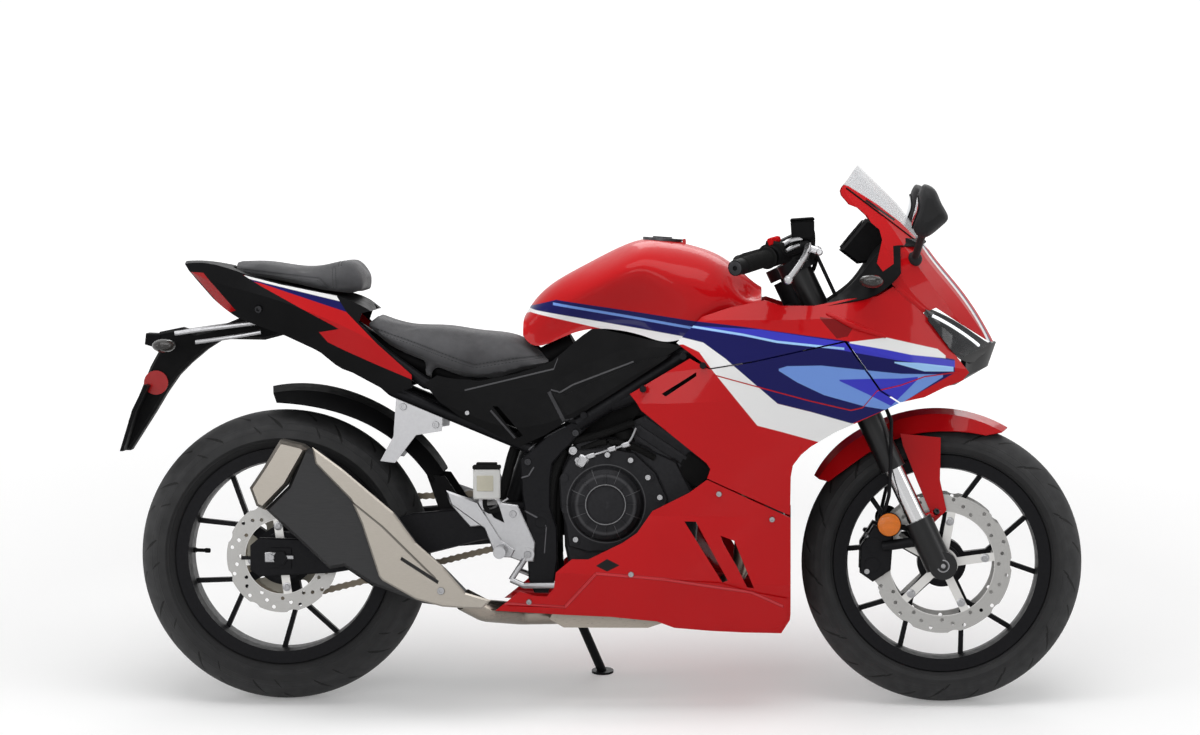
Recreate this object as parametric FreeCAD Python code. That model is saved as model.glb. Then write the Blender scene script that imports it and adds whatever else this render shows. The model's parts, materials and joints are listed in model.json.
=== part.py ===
"""Sport bike of the 500 class, built upright on its own centre plane and then leaned over on its side stand.

Lengths are millimetres. X points forward, Y to the rider's left and Z up. Side-view outlines are written as
shares: one hundred shares along X are the wheelbase, measured from the rear axle, and heights are shares of the
windscreen's height above the floor. Width shares are shares of the bodywork's half width.
"""
import FreeCAD, Part
import math
import os
from functools import cache

V = FreeCAD.Vector

# Driving dimensions of the whole machine
WHEELBASE = 1410.0
SCREEN_HEIGHT = 1148.0
RAKE_ANGLE = 25.5
TRAIL = 102.0
LEAN_ANGLE = 11.0

# Share scales
FULL_SHARE = 100.0
SCREEN_TOP_SHARE = 81.4

FULL_TURN = 360.0
NUT_SIDES = 6

# Fits
SEAT_GAP = 0.3
PANEL_GAP = 2.0
CUT_OVERRUN = 2.0

# Tyres and rims
FRONT_TYRE_RADIUS = 299.9
FRONT_TYRE_WIDTH = 120.0
REAR_TYRE_RADIUS = 311.9
REAR_TYRE_WIDTH = 160.0
BEAD_RADIUS = 218.0
FLANGE_RADIUS = 231.0
WELL_RADIUS = 201.0
RIM_WALL = 6.0
FRONT_RIM_WIDTH = 100.0
REAR_RIM_WIDTH = 126.0
TYRE_WALL = 8.0
SPOKE_PAIRS = 5
SPOKE_WIDTH = 11.0
SPOKE_DEPTH = 26.0
FRONT_HUB_RADIUS = 40.0
REAR_HUB_RADIUS = 52.0
FRONT_SPOKE_TURN = 83.0
REAR_SPOKE_TURN = 142.0

# Axles
AXLE_RADIUS = 10.0
AXLE_CLEARANCE = 0.3

# Front fork and steering
FORK_SPREAD = 206.0
FORK_OFFSET = 30.0
AXLE_LEAD = 7.0
INNER_TUBE_RADIUS = 20.5
OUTER_TUBE_RADIUS = 27.0
STEER_LIMIT = 32.0

# Brake discs
FRONT_DISC_RADIUS = 148.0
FRONT_DISC_INNER = 111.0
FRONT_DISC_OFFSET = 62.0
REAR_DISC_RADIUS = 120.0
REAR_DISC_INNER = 80.0
REAR_DISC_OFFSET = 78.0
DISC_THICKNESS = 4.0
FRONT_HUB_WIDTH = (FRONT_DISC_OFFSET - DISC_THICKNESS / 2) * 2
REAR_HUB_WIDTH = (REAR_DISC_OFFSET - DISC_THICKNESS / 2) * 2

# Chain drive
CHAIN_PITCH = 15.875
REAR_TEETH = 41
FRONT_TEETH = 15
CHAIN_OFFSET = 97.0
PLATE_HALF_HEIGHT = 7.5
PLATE_WAIST = 5.3
PLATE_THICKNESS = 3.2
CHAIN_SLOT = 8.0
SPROCKET_THICKNESS = 6.0

# Bodywork
BODY_HALF_WIDTH = 250.0
PANEL_WALL = 3.0


def gx(share):
    return share * WHEELBASE / FULL_SHARE


def gz(share):
    return share * SCREEN_HEIGHT / SCREEN_TOP_SHARE


def at(x_share, z_share, y=0.0):
    """A point of the side view, at the sideways place y."""
    return V(gx(x_share), y, gz(z_share))


def mirrored(shape):
    return shape.mirror(V(0, 0, 0), V(0, 1, 0))


def both(shape):
    """The piece and its mirror image on the other side, as separate solids."""
    return Part.makeCompound([shape, mirrored(shape)])


def joined(*shapes):
    """One solid of pieces that overlap."""
    return shapes[0].multiFuse(list(shapes[1:])).removeSplitter()


def outline(shares, y=0.0):
    """Closed side-view wire with straight edges."""
    points = [at(x, z, y) for x, z in shares]
    return Part.makePolygon(points + points[:1])


def plate(shares, inner_y, outer_y):
    """A side-view outline given thickness sideways."""
    return Part.Face(outline(shares, inner_y)).extrude(V(0, outer_y - inner_y, 0))


def curved_plate(shares, inner_y, outer_y):
    """The same with one smooth curve through the points."""
    curve = Part.BSplineCurve()
    curve.interpolate([at(x, z, inner_y) for x, z in shares], PeriodicFlag=True)
    return Part.Face(Part.Wire(curve.toShape())).extrude(V(0, outer_y - inner_y, 0))


def inset(points, distance):
    """Corners of a side-view outline moved inward, square to the two edges that meet there."""
    ring = sum((a.x * b.z - b.x * a.z for a, b in zip(points, points[1:] + points[:1])), 0.0)
    turn = math.copysign(1.0, ring)
    moved = []
    for before, corner, after in zip(points[-1:] + points[:-1], points, points[1:] + points[:1]):
        first = (corner - before).normalize()
        second = (after - corner).normalize()
        a = V(-first.z, 0, first.x) * turn
        b = V(-second.z, 0, second.x) * turn
        moved.append(corner + (a + b) * (distance / (1 + a.dot(b))))
    return moved


def bevelled(shares, inner_y, outer_y, bevel, depth):
    """Side-view plate whose edges slope in over a depth at both faces."""
    corners = [at(x, z) for x, z in shares]
    small = inset(corners, bevel)
    step = math.copysign(depth, outer_y - inner_y)
    wires = []
    for y, ring in ((inner_y, small), (inner_y + step, corners), (outer_y - step, corners), (outer_y, small)):
        points = [V(p.x, y, p.z) for p in ring]
        wires.append(Part.makePolygon(points + points[:1]))
    return Part.makeLoft(wires, True, True)


def pod(shares, rings):
    """Smooth body through one closed side-view curve, sized about its middle at each sideways place."""
    corners = [at(x, z) for x, z in shares]
    middle = sum(corners, V(0, 0, 0)) / len(corners)
    wires = []
    for y, size in rings:
        curve = Part.BSplineCurve()
        points = [middle + (p - middle) * size + V(0, y, 0) for p in corners]
        curve.interpolate(points, PeriodicFlag=True)
        wires.append(Part.Wire(curve.toShape()))
    return Part.makeLoft(wires, True)


def lifted(rows, rise):
    """The same rows standing further out by a width share."""
    return [[(x, z, w + rise) for x, z, w in row] for row in rows]


def hexagon(centre, radius, thickness):
    """Six-sided nut with a sideways axis, its near face at the centre."""
    corners = []
    for k in range(NUT_SIDES):
        a = math.radians(k * FULL_TURN / NUT_SIDES)
        corners.append(centre + V(math.cos(a), 0, math.sin(a)) * radius)
    return Part.Face(Part.makePolygon(corners + corners[:1])).extrude(V(0, thickness, 0))


def line_through(points):
    if len(points) == 2:
        return Part.makeLine(points[0], points[1])
    curve = Part.BSplineCurve()
    curve.interpolate(points)
    return curve.toShape()


def skin_normals(rows):
    """Outward direction at each point of a grid of points, kept in the centre plane on that plane."""
    found = []
    for i, row in enumerate(rows):
        line = []
        for j in range(len(row)):
            along = row[min(j + 1, len(row) - 1)] - row[max(j - 1, 0)]
            across = rows[min(i + 1, len(rows) - 1)][j] - rows[max(i - 1, 0)][j]
            normal = along.cross(across)
            if row[j].y == 0:
                normal.y = 0
            line.append(normal.normalize())
        found.append(line)
    return found


def skin(share_rows, wall):
    """Creased panel on the left: rows of side-view places with a width share, thickened inward."""
    rows = [[at(x, z, width(w)) for x, z, w in row] for row in share_rows]
    normals = skin_normals(rows)
    inner = [[p - n * wall for p, n in zip(row, line)] for row, line in zip(rows, normals)]
    outer_curves = [line_through(row) for row in rows]
    inner_curves = [line_through(row) for row in inner]
    faces = []
    for curves in (outer_curves, inner_curves):
        faces += [Part.makeRuledSurface(a, b) for a, b in zip(curves, curves[1:])]
    for k in (0, -1):
        faces.append(Part.makeRuledSurface(outer_curves[k], inner_curves[k]))
        for i in range(len(rows) - 1):
            outer_edge = Part.makeLine(rows[i][k], rows[i + 1][k])
            inner_edge = Part.makeLine(inner[i][k], inner[i + 1][k])
            faces.append(Part.makeRuledSurface(outer_edge, inner_edge))
    sewn = Part.makeCompound(faces)
    sewn.sewShape()
    solid = Part.Solid(sewn.Shells[0])
    if solid.Volume < 0:
        solid.reverse()
    return solid


def width(share):
    return share * BODY_HALF_WIDTH / FULL_SHARE


def ring_loft(sections, ruled=False):
    """Solid through closed cross-sections that are mirror images about the centre plane."""
    wires = []
    for x, half in sections:
        left = [at(x, z, width(w)) for w, z in half]
        right = [V(p.x, -p.y, p.z) for p in left[1:]]
        over = line_through(left[::-1] + right)
        wires.append(Part.Wire([over, Part.makeLine(right[-1], left[-1])]))
    return Part.makeLoft(wires, True, ruled)


def rod(start, end, radius):
    along = end - start
    return Part.makeCylinder(radius, along.Length, start, along)


def pipe(points, radius, bend=0.0):
    """Round bar along straight runs, with arcs of the bend radius at the corners."""
    edges = []
    start = points[0]
    for before, corner, after in zip(points, points[1:], points[2:]):
        back = (before - corner).normalize()
        ahead = (after - corner).normalize()
        half = back.getAngle(ahead) / 2
        reach = bend / math.tan(half)
        middle = (back + ahead).normalize() * (bend / math.sin(half) - bend)
        edges.append(Part.makeLine(start, corner + back * reach))
        edges.append(Part.Arc(corner + back * reach, corner + middle, corner + ahead * reach).toShape())
        start = corner + ahead * reach
    edges.append(Part.makeLine(start, points[-1]))
    circle = Part.Wire(Part.makeCircle(radius, points[0], points[1] - points[0]))
    return Part.Wire(edges).makePipeShell([circle], True, True)


def lathe(profile, centre):
    """Solid of revolution about a sideways axis: the profile holds sideways places and radii."""
    points = [V(centre.x, centre.y + y, centre.z + r) for y, r in profile]
    face = Part.Face(Part.makePolygon(points + points[:1]))
    return face.revolve(V(centre.x, 0, centre.z), V(0, 1, 0), 360)


def disc_at(centre, radius, thickness):
    """Round plate with a sideways axis, centred on its thickness."""
    return Part.makeCylinder(radius, thickness, centre - V(0, thickness / 2, 0), V(0, 1, 0))


def turned(shape, centre, degrees):
    """Copy turned about the sideways axis through the centre, from forward toward up."""
    copy = shape.copy()
    copy.rotate(centre, V(0, -1, 0), degrees)
    return copy


# Steering line
STEER_SIN = math.sin(math.radians(RAKE_ANGLE))
STEER_COS = math.cos(math.radians(RAKE_ANGLE))
STEER_GROUND = WHEELBASE + TRAIL


def steer(up, forward=0.0, y=0.0):
    """A point of the fork: up along the steering line from the floor, forward square to it."""
    return V(STEER_GROUND - up * STEER_SIN + forward * STEER_COS, y, up * STEER_COS + forward * STEER_SIN)


def across_fork(shape_at_origin, up, forward=0.0, y=0.0):
    """Place a shape whose own Z follows the steering line and whose own X points square forward."""
    copy = shape_at_origin.copy()
    copy.rotate(V(0, 0, 0), V(0, 1, 0), -RAKE_ANGLE)
    copy.translate(steer(up, forward, y))
    return copy


AXLE_FORWARD = FORK_OFFSET + AXLE_LEAD
AXLE_UP = (FRONT_TYRE_RADIUS - AXLE_FORWARD * STEER_SIN) / STEER_COS
FRONT_AXLE = steer(AXLE_UP, AXLE_FORWARD)
FORK_Y = FORK_SPREAD / 2

# Lean: both round tyre crowns touch one floor
LEAN_SIN = math.sin(math.radians(LEAN_ANGLE))
LEAN_COS = math.cos(math.radians(LEAN_ANGLE))
FRONT_CROWN_RADIUS = 61.0
REAR_CROWN_RADIUS = 84.0
FLOOR_LIFT = FRONT_CROWN_RADIUS * (1 - LEAN_COS)
REAR_AXLE_UP = REAR_TYRE_RADIUS - REAR_CROWN_RADIUS + (REAR_CROWN_RADIUS - FLOOR_LIFT) / LEAN_COS
REAR_AXLE = V(0, 0, REAR_AXLE_UP)

# Wheels
TYRE_SHOULDER_SHARE = 0.5
TREAD_GAP = 0.3
RIM_LIP = 7.0
BEAD_SEAT_WIDTH = 21.0
WELL_SLOPE = 10.0
RIM_EDGE_RISE = 4.0


def rim_barrel(rim_width, centre):
    """Rim ring with flanges, bead seats and drop well."""
    half = rim_width / 2
    seat_end = half - BEAD_SEAT_WIDTH
    well_end = seat_end - WELL_SLOPE
    outer = [(-half, FLANGE_RADIUS), (RIM_LIP - half, FLANGE_RADIUS), (RIM_LIP - half, BEAD_RADIUS),
             (-seat_end, BEAD_RADIUS), (-well_end, WELL_RADIUS + RIM_WALL), (well_end, WELL_RADIUS + RIM_WALL),
             (seat_end, BEAD_RADIUS), (half - RIM_LIP, BEAD_RADIUS), (half - RIM_LIP, FLANGE_RADIUS),
             (half, FLANGE_RADIUS)]
    inner = [(half, WELL_RADIUS + RIM_EDGE_RISE), (well_end, WELL_RADIUS), (-well_end, WELL_RADIUS),
             (-half, WELL_RADIUS + RIM_EDGE_RISE)]
    return lathe(outer + inner, centre)


def tyre(radius, tyre_width, crown_radius, rim_width, centre):
    """Tyre casing: round crown, sidewalls and beads that seat in the rim."""
    side = rim_width / 2 - RIM_LIP - SEAT_GAP
    foot = BEAD_RADIUS + SEAT_GAP
    rest = FLANGE_RADIUS + SEAT_GAP
    centre_up = radius - crown_radius
    half = tyre_width / 2
    widest = centre_up + math.sqrt(crown_radius ** 2 - half ** 2)

    def place(y, r):
        return V(centre.x, y, centre.z + r)

    def casing(inset):
        top = place(0, radius - inset)
        left = place(half - inset, widest)
        right = place(inset - half, widest)
        foot_left = place(side - inset, rest)
        foot_right = place(inset - side, rest)
        bulge = (half + side) / 2 + TYRE_BULGE - inset
        low = (widest + rest) / 2
        return [Part.Arc(foot_left, place(bulge, low), left).toShape(), Part.Arc(left, top, right).toShape(),
                Part.Arc(right, place(-bulge, low), foot_right).toShape()]

    outer = casing(0)
    inner = casing(TYRE_WALL)
    ends = []
    for sign in (1, -1):
        outer_foot = place(sign * side, rest)
        inner_foot = place(sign * (side - TYRE_WALL), rest)
        ends += [Part.makeLine(outer_foot, place(sign * side, foot)),
                 Part.makeLine(place(sign * side, foot), place(sign * (side - TYRE_WALL), foot)),
                 Part.makeLine(place(sign * (side - TYRE_WALL), foot), inner_foot)]
    wire = Part.Wire(Part.__sortEdges__(outer + inner + ends))
    return Part.Face(wire).revolve(V(centre.x, 0, centre.z), V(0, 1, 0), 360)


TYRE_BULGE = 3.0
SPOKE_SPLIT = 17.3
SPOKE_STEM_SHARE = 0.42
SPOKE_STEM_WIDTH = 17.0
SPOKE_TIP_DEPTH = 16.0


def spoke(centre, start_radius, end_radius, start_angle, end_angle, start_width, end_width, depths):
    """Tapered bar lofted from the hub side to the rim."""
    wires = []
    for radius, degrees, across, depth in ((start_radius, start_angle, start_width, depths[0]),
                                           (end_radius, end_angle, end_width, depths[1])):
        a = math.radians(degrees)
        middle = centre + V(radius * math.cos(a), 0, radius * math.sin(a))
        side = V(-math.sin(a), 0, math.cos(a)) * (across / 2)
        out = V(0, depth / 2, 0)
        corners = [middle + side + out, middle + side - out, middle - side - out, middle - side + out]
        wires.append(Part.makePolygon(corners + corners[:1]))
    return Part.makeLoft(wires, True, True)


def cast_wheel(rim_width, hub_radius, hub_width, spoke_turn, centre):
    """Rim, hub and forked spokes as one casting with a bearing bore."""
    rim = rim_barrel(rim_width, centre)
    hub = disc_at(centre, hub_radius, hub_width)
    barrel = disc_at(centre, hub_radius + HUB_FLANGE, hub_width / 2)
    parts = [hub, barrel]
    stem_end = hub_radius + (WELL_RADIUS - hub_radius) * SPOKE_STEM_SHARE
    for k in range(SPOKE_PAIRS):
        angle = spoke_turn + k * FULL_TURN / SPOKE_PAIRS
        parts.append(spoke(centre, hub_radius / 2, stem_end, angle, angle, SPOKE_STEM_WIDTH + HUB_FLANGE,
                           SPOKE_STEM_WIDTH, (SPOKE_DEPTH + HUB_FLANGE, SPOKE_DEPTH)))
        for side in (-1, 1):
            parts.append(spoke(centre, stem_end - SPOKE_STEM_WIDTH, WELL_RADIUS + RIM_WALL / 2,
                               angle, angle + side * SPOKE_SPLIT, SPOKE_WIDTH, SPOKE_WIDTH,
                               (SPOKE_DEPTH, SPOKE_TIP_DEPTH)))
    casting = rim.multiFuse(parts)
    return casting.cut(disc_at(centre, AXLE_RADIUS + AXLE_CLEARANCE, hub_width + CUT_OVERRUN))


HUB_FLANGE = 12.0
SPROCKET_BORE_RADIUS = 40.0
SPROCKET_SEAT_RADIUS = 60.0
WAVE_DEPTH = 4.0
WAVES = 9
DISC_HOLES = 36
DISC_HOLE_RADIUS = 4.0
DISC_HOLE_ROWS = 3
CARRIER_WALL = 5.0
BOBBIN_RADIUS = 9.0
CARRIER_ARM_WIDTH = 18.0


def wave_disc(centre, outer_radius, inner_radius, side, arms, hub_radius, carrier_radius):
    """Brake disc with a waved rim and inner edge, drilled rows, and a carrier with arms."""
    ring = disc_at(centre, outer_radius, DISC_THICKNESS)
    scallop = outer_radius * math.sin(math.pi / WAVES) * SCALLOP_SHARE
    dip = math.sqrt(max((outer_radius + SCALLOP_LIFT) ** 2, 0))
    cutters = [disc_at(centre, inner_radius, DISC_THICKNESS + CUT_OVERRUN)]
    for k in range(WAVES):
        a = math.radians(k * FULL_TURN / WAVES)
        place = centre + V(math.cos(a), 0, math.sin(a)) * (dip + scallop - WAVE_DEPTH)
        cutters.append(disc_at(place, scallop, DISC_THICKNESS + CUT_OVERRUN))
    band = (outer_radius - inner_radius) / (DISC_HOLE_ROWS + 1)
    for k in range(DISC_HOLES):
        a = math.radians(k * FULL_TURN / DISC_HOLES)
        radius = inner_radius + band * (1 + k % DISC_HOLE_ROWS)
        place = centre + V(math.cos(a), 0, math.sin(a)) * radius
        cutters.append(disc_at(place, DISC_HOLE_RADIUS, DISC_THICKNESS + CUT_OVERRUN))
    ring = ring.cut(Part.makeCompound(cutters))
    carrier = disc_at(centre, hub_radius + CARRIER_WALL + BOBBIN_RADIUS, DISC_THICKNESS)
    parts = [carrier]
    for k in range(arms):
        angle = ARM_TURN + k * FULL_TURN / arms
        a = math.radians(angle)
        parts.append(spoke(centre, hub_radius, inner_radius + CARRIER_WALL, angle, angle, CARRIER_ARM_WIDTH,
                           CARRIER_ARM_WIDTH, (DISC_THICKNESS, DISC_THICKNESS)))
        bobbin = centre + V(math.cos(a), 0, math.sin(a)) * carrier_radius
        parts.append(disc_at(bobbin, BOBBIN_RADIUS, DISC_THICKNESS + CUT_OVERRUN))
    whole = ring.multiFuse(parts)
    return whole.cut(disc_at(centre, hub_radius, DISC_THICKNESS + CUT_OVERRUN + CUT_OVERRUN))


SCALLOP_SHARE = 0.5
SCALLOP_LIFT = 0.0
ARM_TURN = 8.0
FRONT_CARRIER_RADIUS = 92.0
REAR_CARRIER_RADIUS = 66.0

# Side-view outlines and skins, in shares
TANK_SECTIONS = [
    (36.6, [(0, 58.6), (18, 58.2), (30, 57.4), (33, 56.6), (34, 55.8)]),
    (40.0, [(0, 62.9), (24, 62.1), (38, 59.6), (38, 57.0), (37, 54.4)]),
    (45.0, [(0, 66.0), (30, 65.0), (49, 61.8), (44, 59.0), (42, 56.4)]),
    (50.0, [(0, 68.6), (36, 67.4), (59, 64.3), (49, 60.5), (47, 56.8)]),
    (55.0, [(0, 70.3), (40, 69.2), (66, 66.0), (56, 61.5), (53, 55.8)]),
    (60.0, [(0, 69.8), (40, 68.6), (67, 64.2), (64, 60.5), (61, 55.2)]),
    (66.0, [(0, 67.9), (34, 67.0), (60, 62.9), (63, 60.9), (62, 58.9)]),
    (70.4, [(0, 64.6), (20, 63.9), (34, 62.0), (48, 60.9), (51, 60.2)]),
    (72.6, [(0, 63.0), (18, 62.5), (32, 61.7), (42, 61.3), (45, 61.0)]),
]
SEAT_SECTIONS = [
    (12.6, [(0, 58.1), (34, 58.0), (43, 57.7), (43, 57.4), (41, 57.1)]),
    (15.5, [(0, 58.1), (36, 57.8), (46, 56.6), (47, 55.8), (45, 55.0)]),
    (20.0, [(0, 56.9), (40, 56.6), (51, 54.8), (52, 53.7), (50, 52.8)]),
    (25.0, [(0, 56.7), (42, 56.3), (56, 53.8), (56, 52.0), (52, 50.7)]),
    (30.0, [(0, 56.1), (37, 55.6), (52, 52.6), (52, 50.8), (49, 49.3)]),
    (35.0, [(0, 55.6), (28, 55.2), (43, 53.2), (45, 51.6), (45, 50.1)]),
    (38.0, [(0, 54.2), (25, 54.0), (38, 53.2), (42, 52.0), (43, 50.9)]),
    (41.2, [(0, 52.6), (24, 52.5), (36, 52.3), (40, 52.0), (41, 51.8)]),
]
PILLION_SECTIONS = [
    (-7.7, [(0, 67.1), (12, 66.9), (18, 66.3), (19, 65.8), (18, 65.3)]),
    (-4.0, [(0, 66.9), (24, 66.6), (34, 65.7), (35, 65.1), (33, 64.6)]),
    (2.0, [(0, 66.2), (32, 65.9), (43, 65.0), (44, 64.2), (42, 63.6)]),
    (7.0, [(0, 66.4), (36, 66.0), (46, 64.6), (47, 63.4), (45, 62.6)]),
    (11.0, [(0, 66.7), (36, 66.4), (45, 65.0), (46, 63.2), (44, 62.2)]),
    (12.9, [(0, 64.6), (32, 64.4), (42, 63.6), (42, 62.8), (40, 62.3)]),
]
FAIRING_ROWS = [
    [(56, 60.5, 58), (66, 62.5, 66), (76, 62.8, 72), (84, 63.2, 74), (92, 64.5, 68), (98, 62.0, 55), (106, 58, 30)],
    [(55, 56.5, 64), (66, 58.3, 78), (76, 58.4, 88), (84, 58.6, 89), (92, 58.0, 78), (99, 56.5, 60), (107, 54, 34)],
    [(52, 50.0, 68), (64, 51.2, 86), (74, 53.0, 96), (84, 54.6, 97), (93, 52.6, 84), (101, 51.2, 62), (108, 50.5, 38)],
    [(50, 46.0, 66), (62, 46.0, 85), (74, 46.5, 93), (84, 46.2, 93), (92, 46.5, 84), (99, 47.0, 66), (106, 47.5, 42)],
    [(48, 38.0, 64), (61, 38.0, 80), (72, 38.0, 87), (80, 38.0, 87), (90, 39.0, 80), (97, 42.0, 64), (104, 44, 46)],
    [(44, 29.0, 66), (56, 29.0, 75), (66, 29.0, 79), (76, 29.0, 79), (84, 30.0, 72), (92, 32.0, 62), (100, 34, 50)],
    [(32, 20.0, 70), (44, 20.3, 73), (56, 19.6, 74), (68, 19.0, 73), (78, 18.5, 64), (88, 20.0, 56), (98, 22, 48)],
    [(32, 13.5, 62), (44, 13.0, 61), (56, 12.0, 58), (67, 10.8, 50), (77, 10.5, 40), (88, 12.0, 36), (98, 14, 32)],
]
UPPER_COWL_SHARES = [
    (60.0, 54.9), (63.8, 58.8), (68, 60.2), (73.2, 61.3), (75.6, 60.5), (80.5, 60.5), (85.5, 61.5), (90, 61.9),
    (92.3, 63.3), (96, 60.3), (98.2, 57.8), (101, 53.9), (103.8, 50.4), (102.8, 49.2), (100, 48.2), (97, 46.8),
    (93.4, 46.1), (90.5, 48.0), (85.3, 55.4), (78.5, 53.9), (71.5, 52.3), (65, 51.2),
]
MIDDLE_COWL_SHARES = [
    (53.0, 47.2), (62.0, 52.6), (65, 51.0), (71.5, 52.1), (78.5, 53.7), (85.1, 55.1), (90.3, 47.8), (93.2, 46.0),
    (90, 44.5), (86.4, 42.9), (83.5, 41.6), (80, 39.5), (78.6, 38.3), (77.4, 36.7), (77.1, 35.0), (77.0, 29.2),
    (76.2, 29.5), (64.6, 34.7), (65.1, 36.1), (64.5, 37.0), (54.7, 44.8), (53.9, 46.1),
]
LOWER_COWL_SHARES = [
    (32.7, 14.5), (34.5, 15.9), (36.4, 17.5), (38.5, 16.8), (40.5, 16.7), (41.6, 18.0), (41.9, 20.4), (44.3, 22.4),
    (46.8, 22.4), (51.9, 24.9), (54.1, 26.4), (56.4, 29.7), (61.9, 32.5), (64.6, 34.5), (76.2, 29.2), (77.1, 28.8),
    (77.1, 14.0), (77.0, 13.0), (75.7, 10.9), (70, 11.1), (65, 11.4), (59.6, 11.9), (57, 12.9), (50, 13.6), (43, 13.9),
]
LOWER_SLOT_SHARES = [(61.2, 28.2), (62.9, 28.2), (67.7, 19.3), (66.9, 19.0)]
LOWER_VENT_SHARES = [(66.6, 26.1), (68.7, 25.3), (71.6, 18.1), (70.6, 18.2), (69.0, 21.5), (67.0, 25.0)]
MIDDLE_VENT_SHARES = [(57.8, 47.3), (63.0, 50.6), (63.0, 50.0), (58.4, 46.9)]
COWL_FLOOR_SHARES = [(62.0, 12.1), (75.4, 11.7), (76.6, 14.0), (76.0, 14.2), (75.0, 12.2), (62.0, 12.5)]
NOSE_ROWS = [
    [(87.2, 81.6, 0), (90, 78.8, 0), (93.4, 75.4, 0), (98.2, 68.4, 0), (103, 62.5, 0), (106.6, 57.0, 0), (108, 54.3, 0)],
    [(86.8, 81.0, 24), (89.6, 78.0, 27), (92.9, 74.3, 29), (97.2, 67.7, 30), (101.8, 62.1, 27), (105.2, 57.4, 22),
     (107.0, 54.6, 14)],
    [(85.9, 79.6, 42), (88.4, 76.8, 46), (91.6, 72.9, 50), (95.6, 67.0, 54), (99.6, 61.6, 50), (102.6, 57.7, 41),
     (105.2, 55.4, 30)],
    [(84.8, 78.2, 50), (86.9, 75.0, 55), (90.0, 71.2, 60), (93.0, 65.6, 67), (96.6, 60.9, 63), (99.6, 58.6, 54),
     (102.6, 57.0, 42)],
    [(84.4, 77.3, 51), (86.0, 74.0, 56), (88.8, 69.8, 62), (90.0, 64.0, 70), (93.0, 60.0, 72), (96.5, 57.0, 64),
     (99.5, 55.5, 52)],
]
NOSE_SHARES = [
    (84.4, 78.1), (84.7, 76.9), (85.9, 75.5), (87.2, 75.0), (88.5, 73.8), (89.1, 72.8), (90.3, 71.8), (90.7, 70.3),
    (89.9, 66.8), (92.3, 63.5), (96.1, 60.5), (97.5, 59.6), (98.8, 60.1), (102.6, 57.6), (107.5, 54.5), (109, 54.3),
    (109, 57), (106.6, 60), (103, 65), (98.6, 69.4), (97, 70), (93.5, 73.4), (90, 76), (85.7, 78.8), (84.9, 78.7),
]
SCREEN_SHARES = [
    (85.1, 78.5), (85.7, 78.3), (90, 75.6), (93.5, 72.9), (96.9, 69.6), (98.2, 68.5), (100, 70), (96, 77), (90, 82),
    (86, 83),
]
LAMP_ROWS = [
    [(97.2, 59.9, 66), (99.6, 59.0, 57), (102.4, 57.6, 47), (105.0, 55.9, 34), (107.3, 54.4, 16)],
    [(97.7, 59.0, 64), (99.8, 57.2, 60), (102.4, 55.2, 51), (104.6, 54.0, 38), (106.6, 53.3, 20)],
    [(97.6, 58.2, 65), (99.6, 55.7, 62), (101.6, 53.2, 57), (103.5, 51.9, 43), (105.3, 52.2, 22)],
]
CHIN_ROWS = [
    [(108.0, 54.7, 0), (107.0, 54.4, 14), (105.0, 52.3, 26), (103.2, 52.0, 44)],
    [(106.8, 51.2, 0), (106.2, 51.0, 14), (104.6, 50.4, 28), (103.0, 49.6, 44)],
    [(102.0, 48.4, 0), (101.6, 48.4, 14), (100.8, 48.4, 28), (100.0, 48.4, 44)],
]
TAIL_ROWS = [
    [(-15.3, 66.9, 0), (-10, 66.7, 0), (-5, 65.6, 0), (0, 64.3, 0), (6, 62.9, 0), (11.8, 61.6, 0), (16, 58.0, 0)],
    [(-15.0, 66.5, 24), (-10, 66.4, 34), (-5, 64.9, 42), (0, 63.5, 47), (6, 62.3, 50), (11.8, 60.6, 51),
     (17, 56.0, 51)],
    [(-14.4, 65.6, 26), (-9.5, 63.6, 38), (-4, 62.2, 49), (1, 60.7, 54), (7, 58.4, 56), (13, 55.6, 56),
     (20, 50.6, 54)],
    [(-13.6, 64.6, 22), (-9.0, 60.0, 32), (-6.2, 58.2, 38), (0.8, 55.4, 44), (7, 52.2, 48), (12.5, 49.0, 50),
     (20.0, 45.5, 51)],
]
TAIL_FLOOR_ROWS = [
    [(-9.0, 60.4, 32), (-6.2, 58.7, 38), (0.8, 55.9, 44), (7, 52.7, 48), (12.5, 49.8, 50), (17.0, 48.0, 51)],
    [(-9.0, 60.4, 0), (-6.2, 58.7, 0), (0.8, 55.9, 0), (7, 52.7, 0), (12.5, 49.8, 0), (17.0, 48.0, 0)],
]
TAIL_RED_SHARES = [
    (-5.7, 64.9), (-3, 63.3), (0, 61.7), (5, 59.0), (8.2, 57.3), (9, 56.8), (6, 56.3), (7.3, 54.8), (10, 53.5),
    (15, 51.3), (20, 49.2), (21.8, 48.7), (20, 49.9), (14.8, 54.6), (10.2, 59.3), (8.6, 61.8), (0, 63.5),
]
TAIL_BLACK_SHARES = [
    (-15.6, 67.4), (-10, 67.1), (-5, 66.0), (0, 64.8), (6, 63.3), (12.2, 62.0), (14.2, 59.6), (12.5, 59.2), (12.0, 57.8),
    (15.7, 54.3), (20.3, 49.6), (21.8, 48.5), (17, 47.0), (11, 50.2), (9, 50.9), (5.9, 53.4), (0.8, 55.7), (-6.5, 58.3),
    (-7.6, 59.0), (-9.1, 59.7), (-14.0, 65.0), (-14.6, 66.0),
]
TAIL_LAMP_SHARES = [(-14.0, 65.3), (-9.2, 60.0), (-7.9, 59.2), (-6.9, 59.5), (-12.0, 65.2)]
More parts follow.
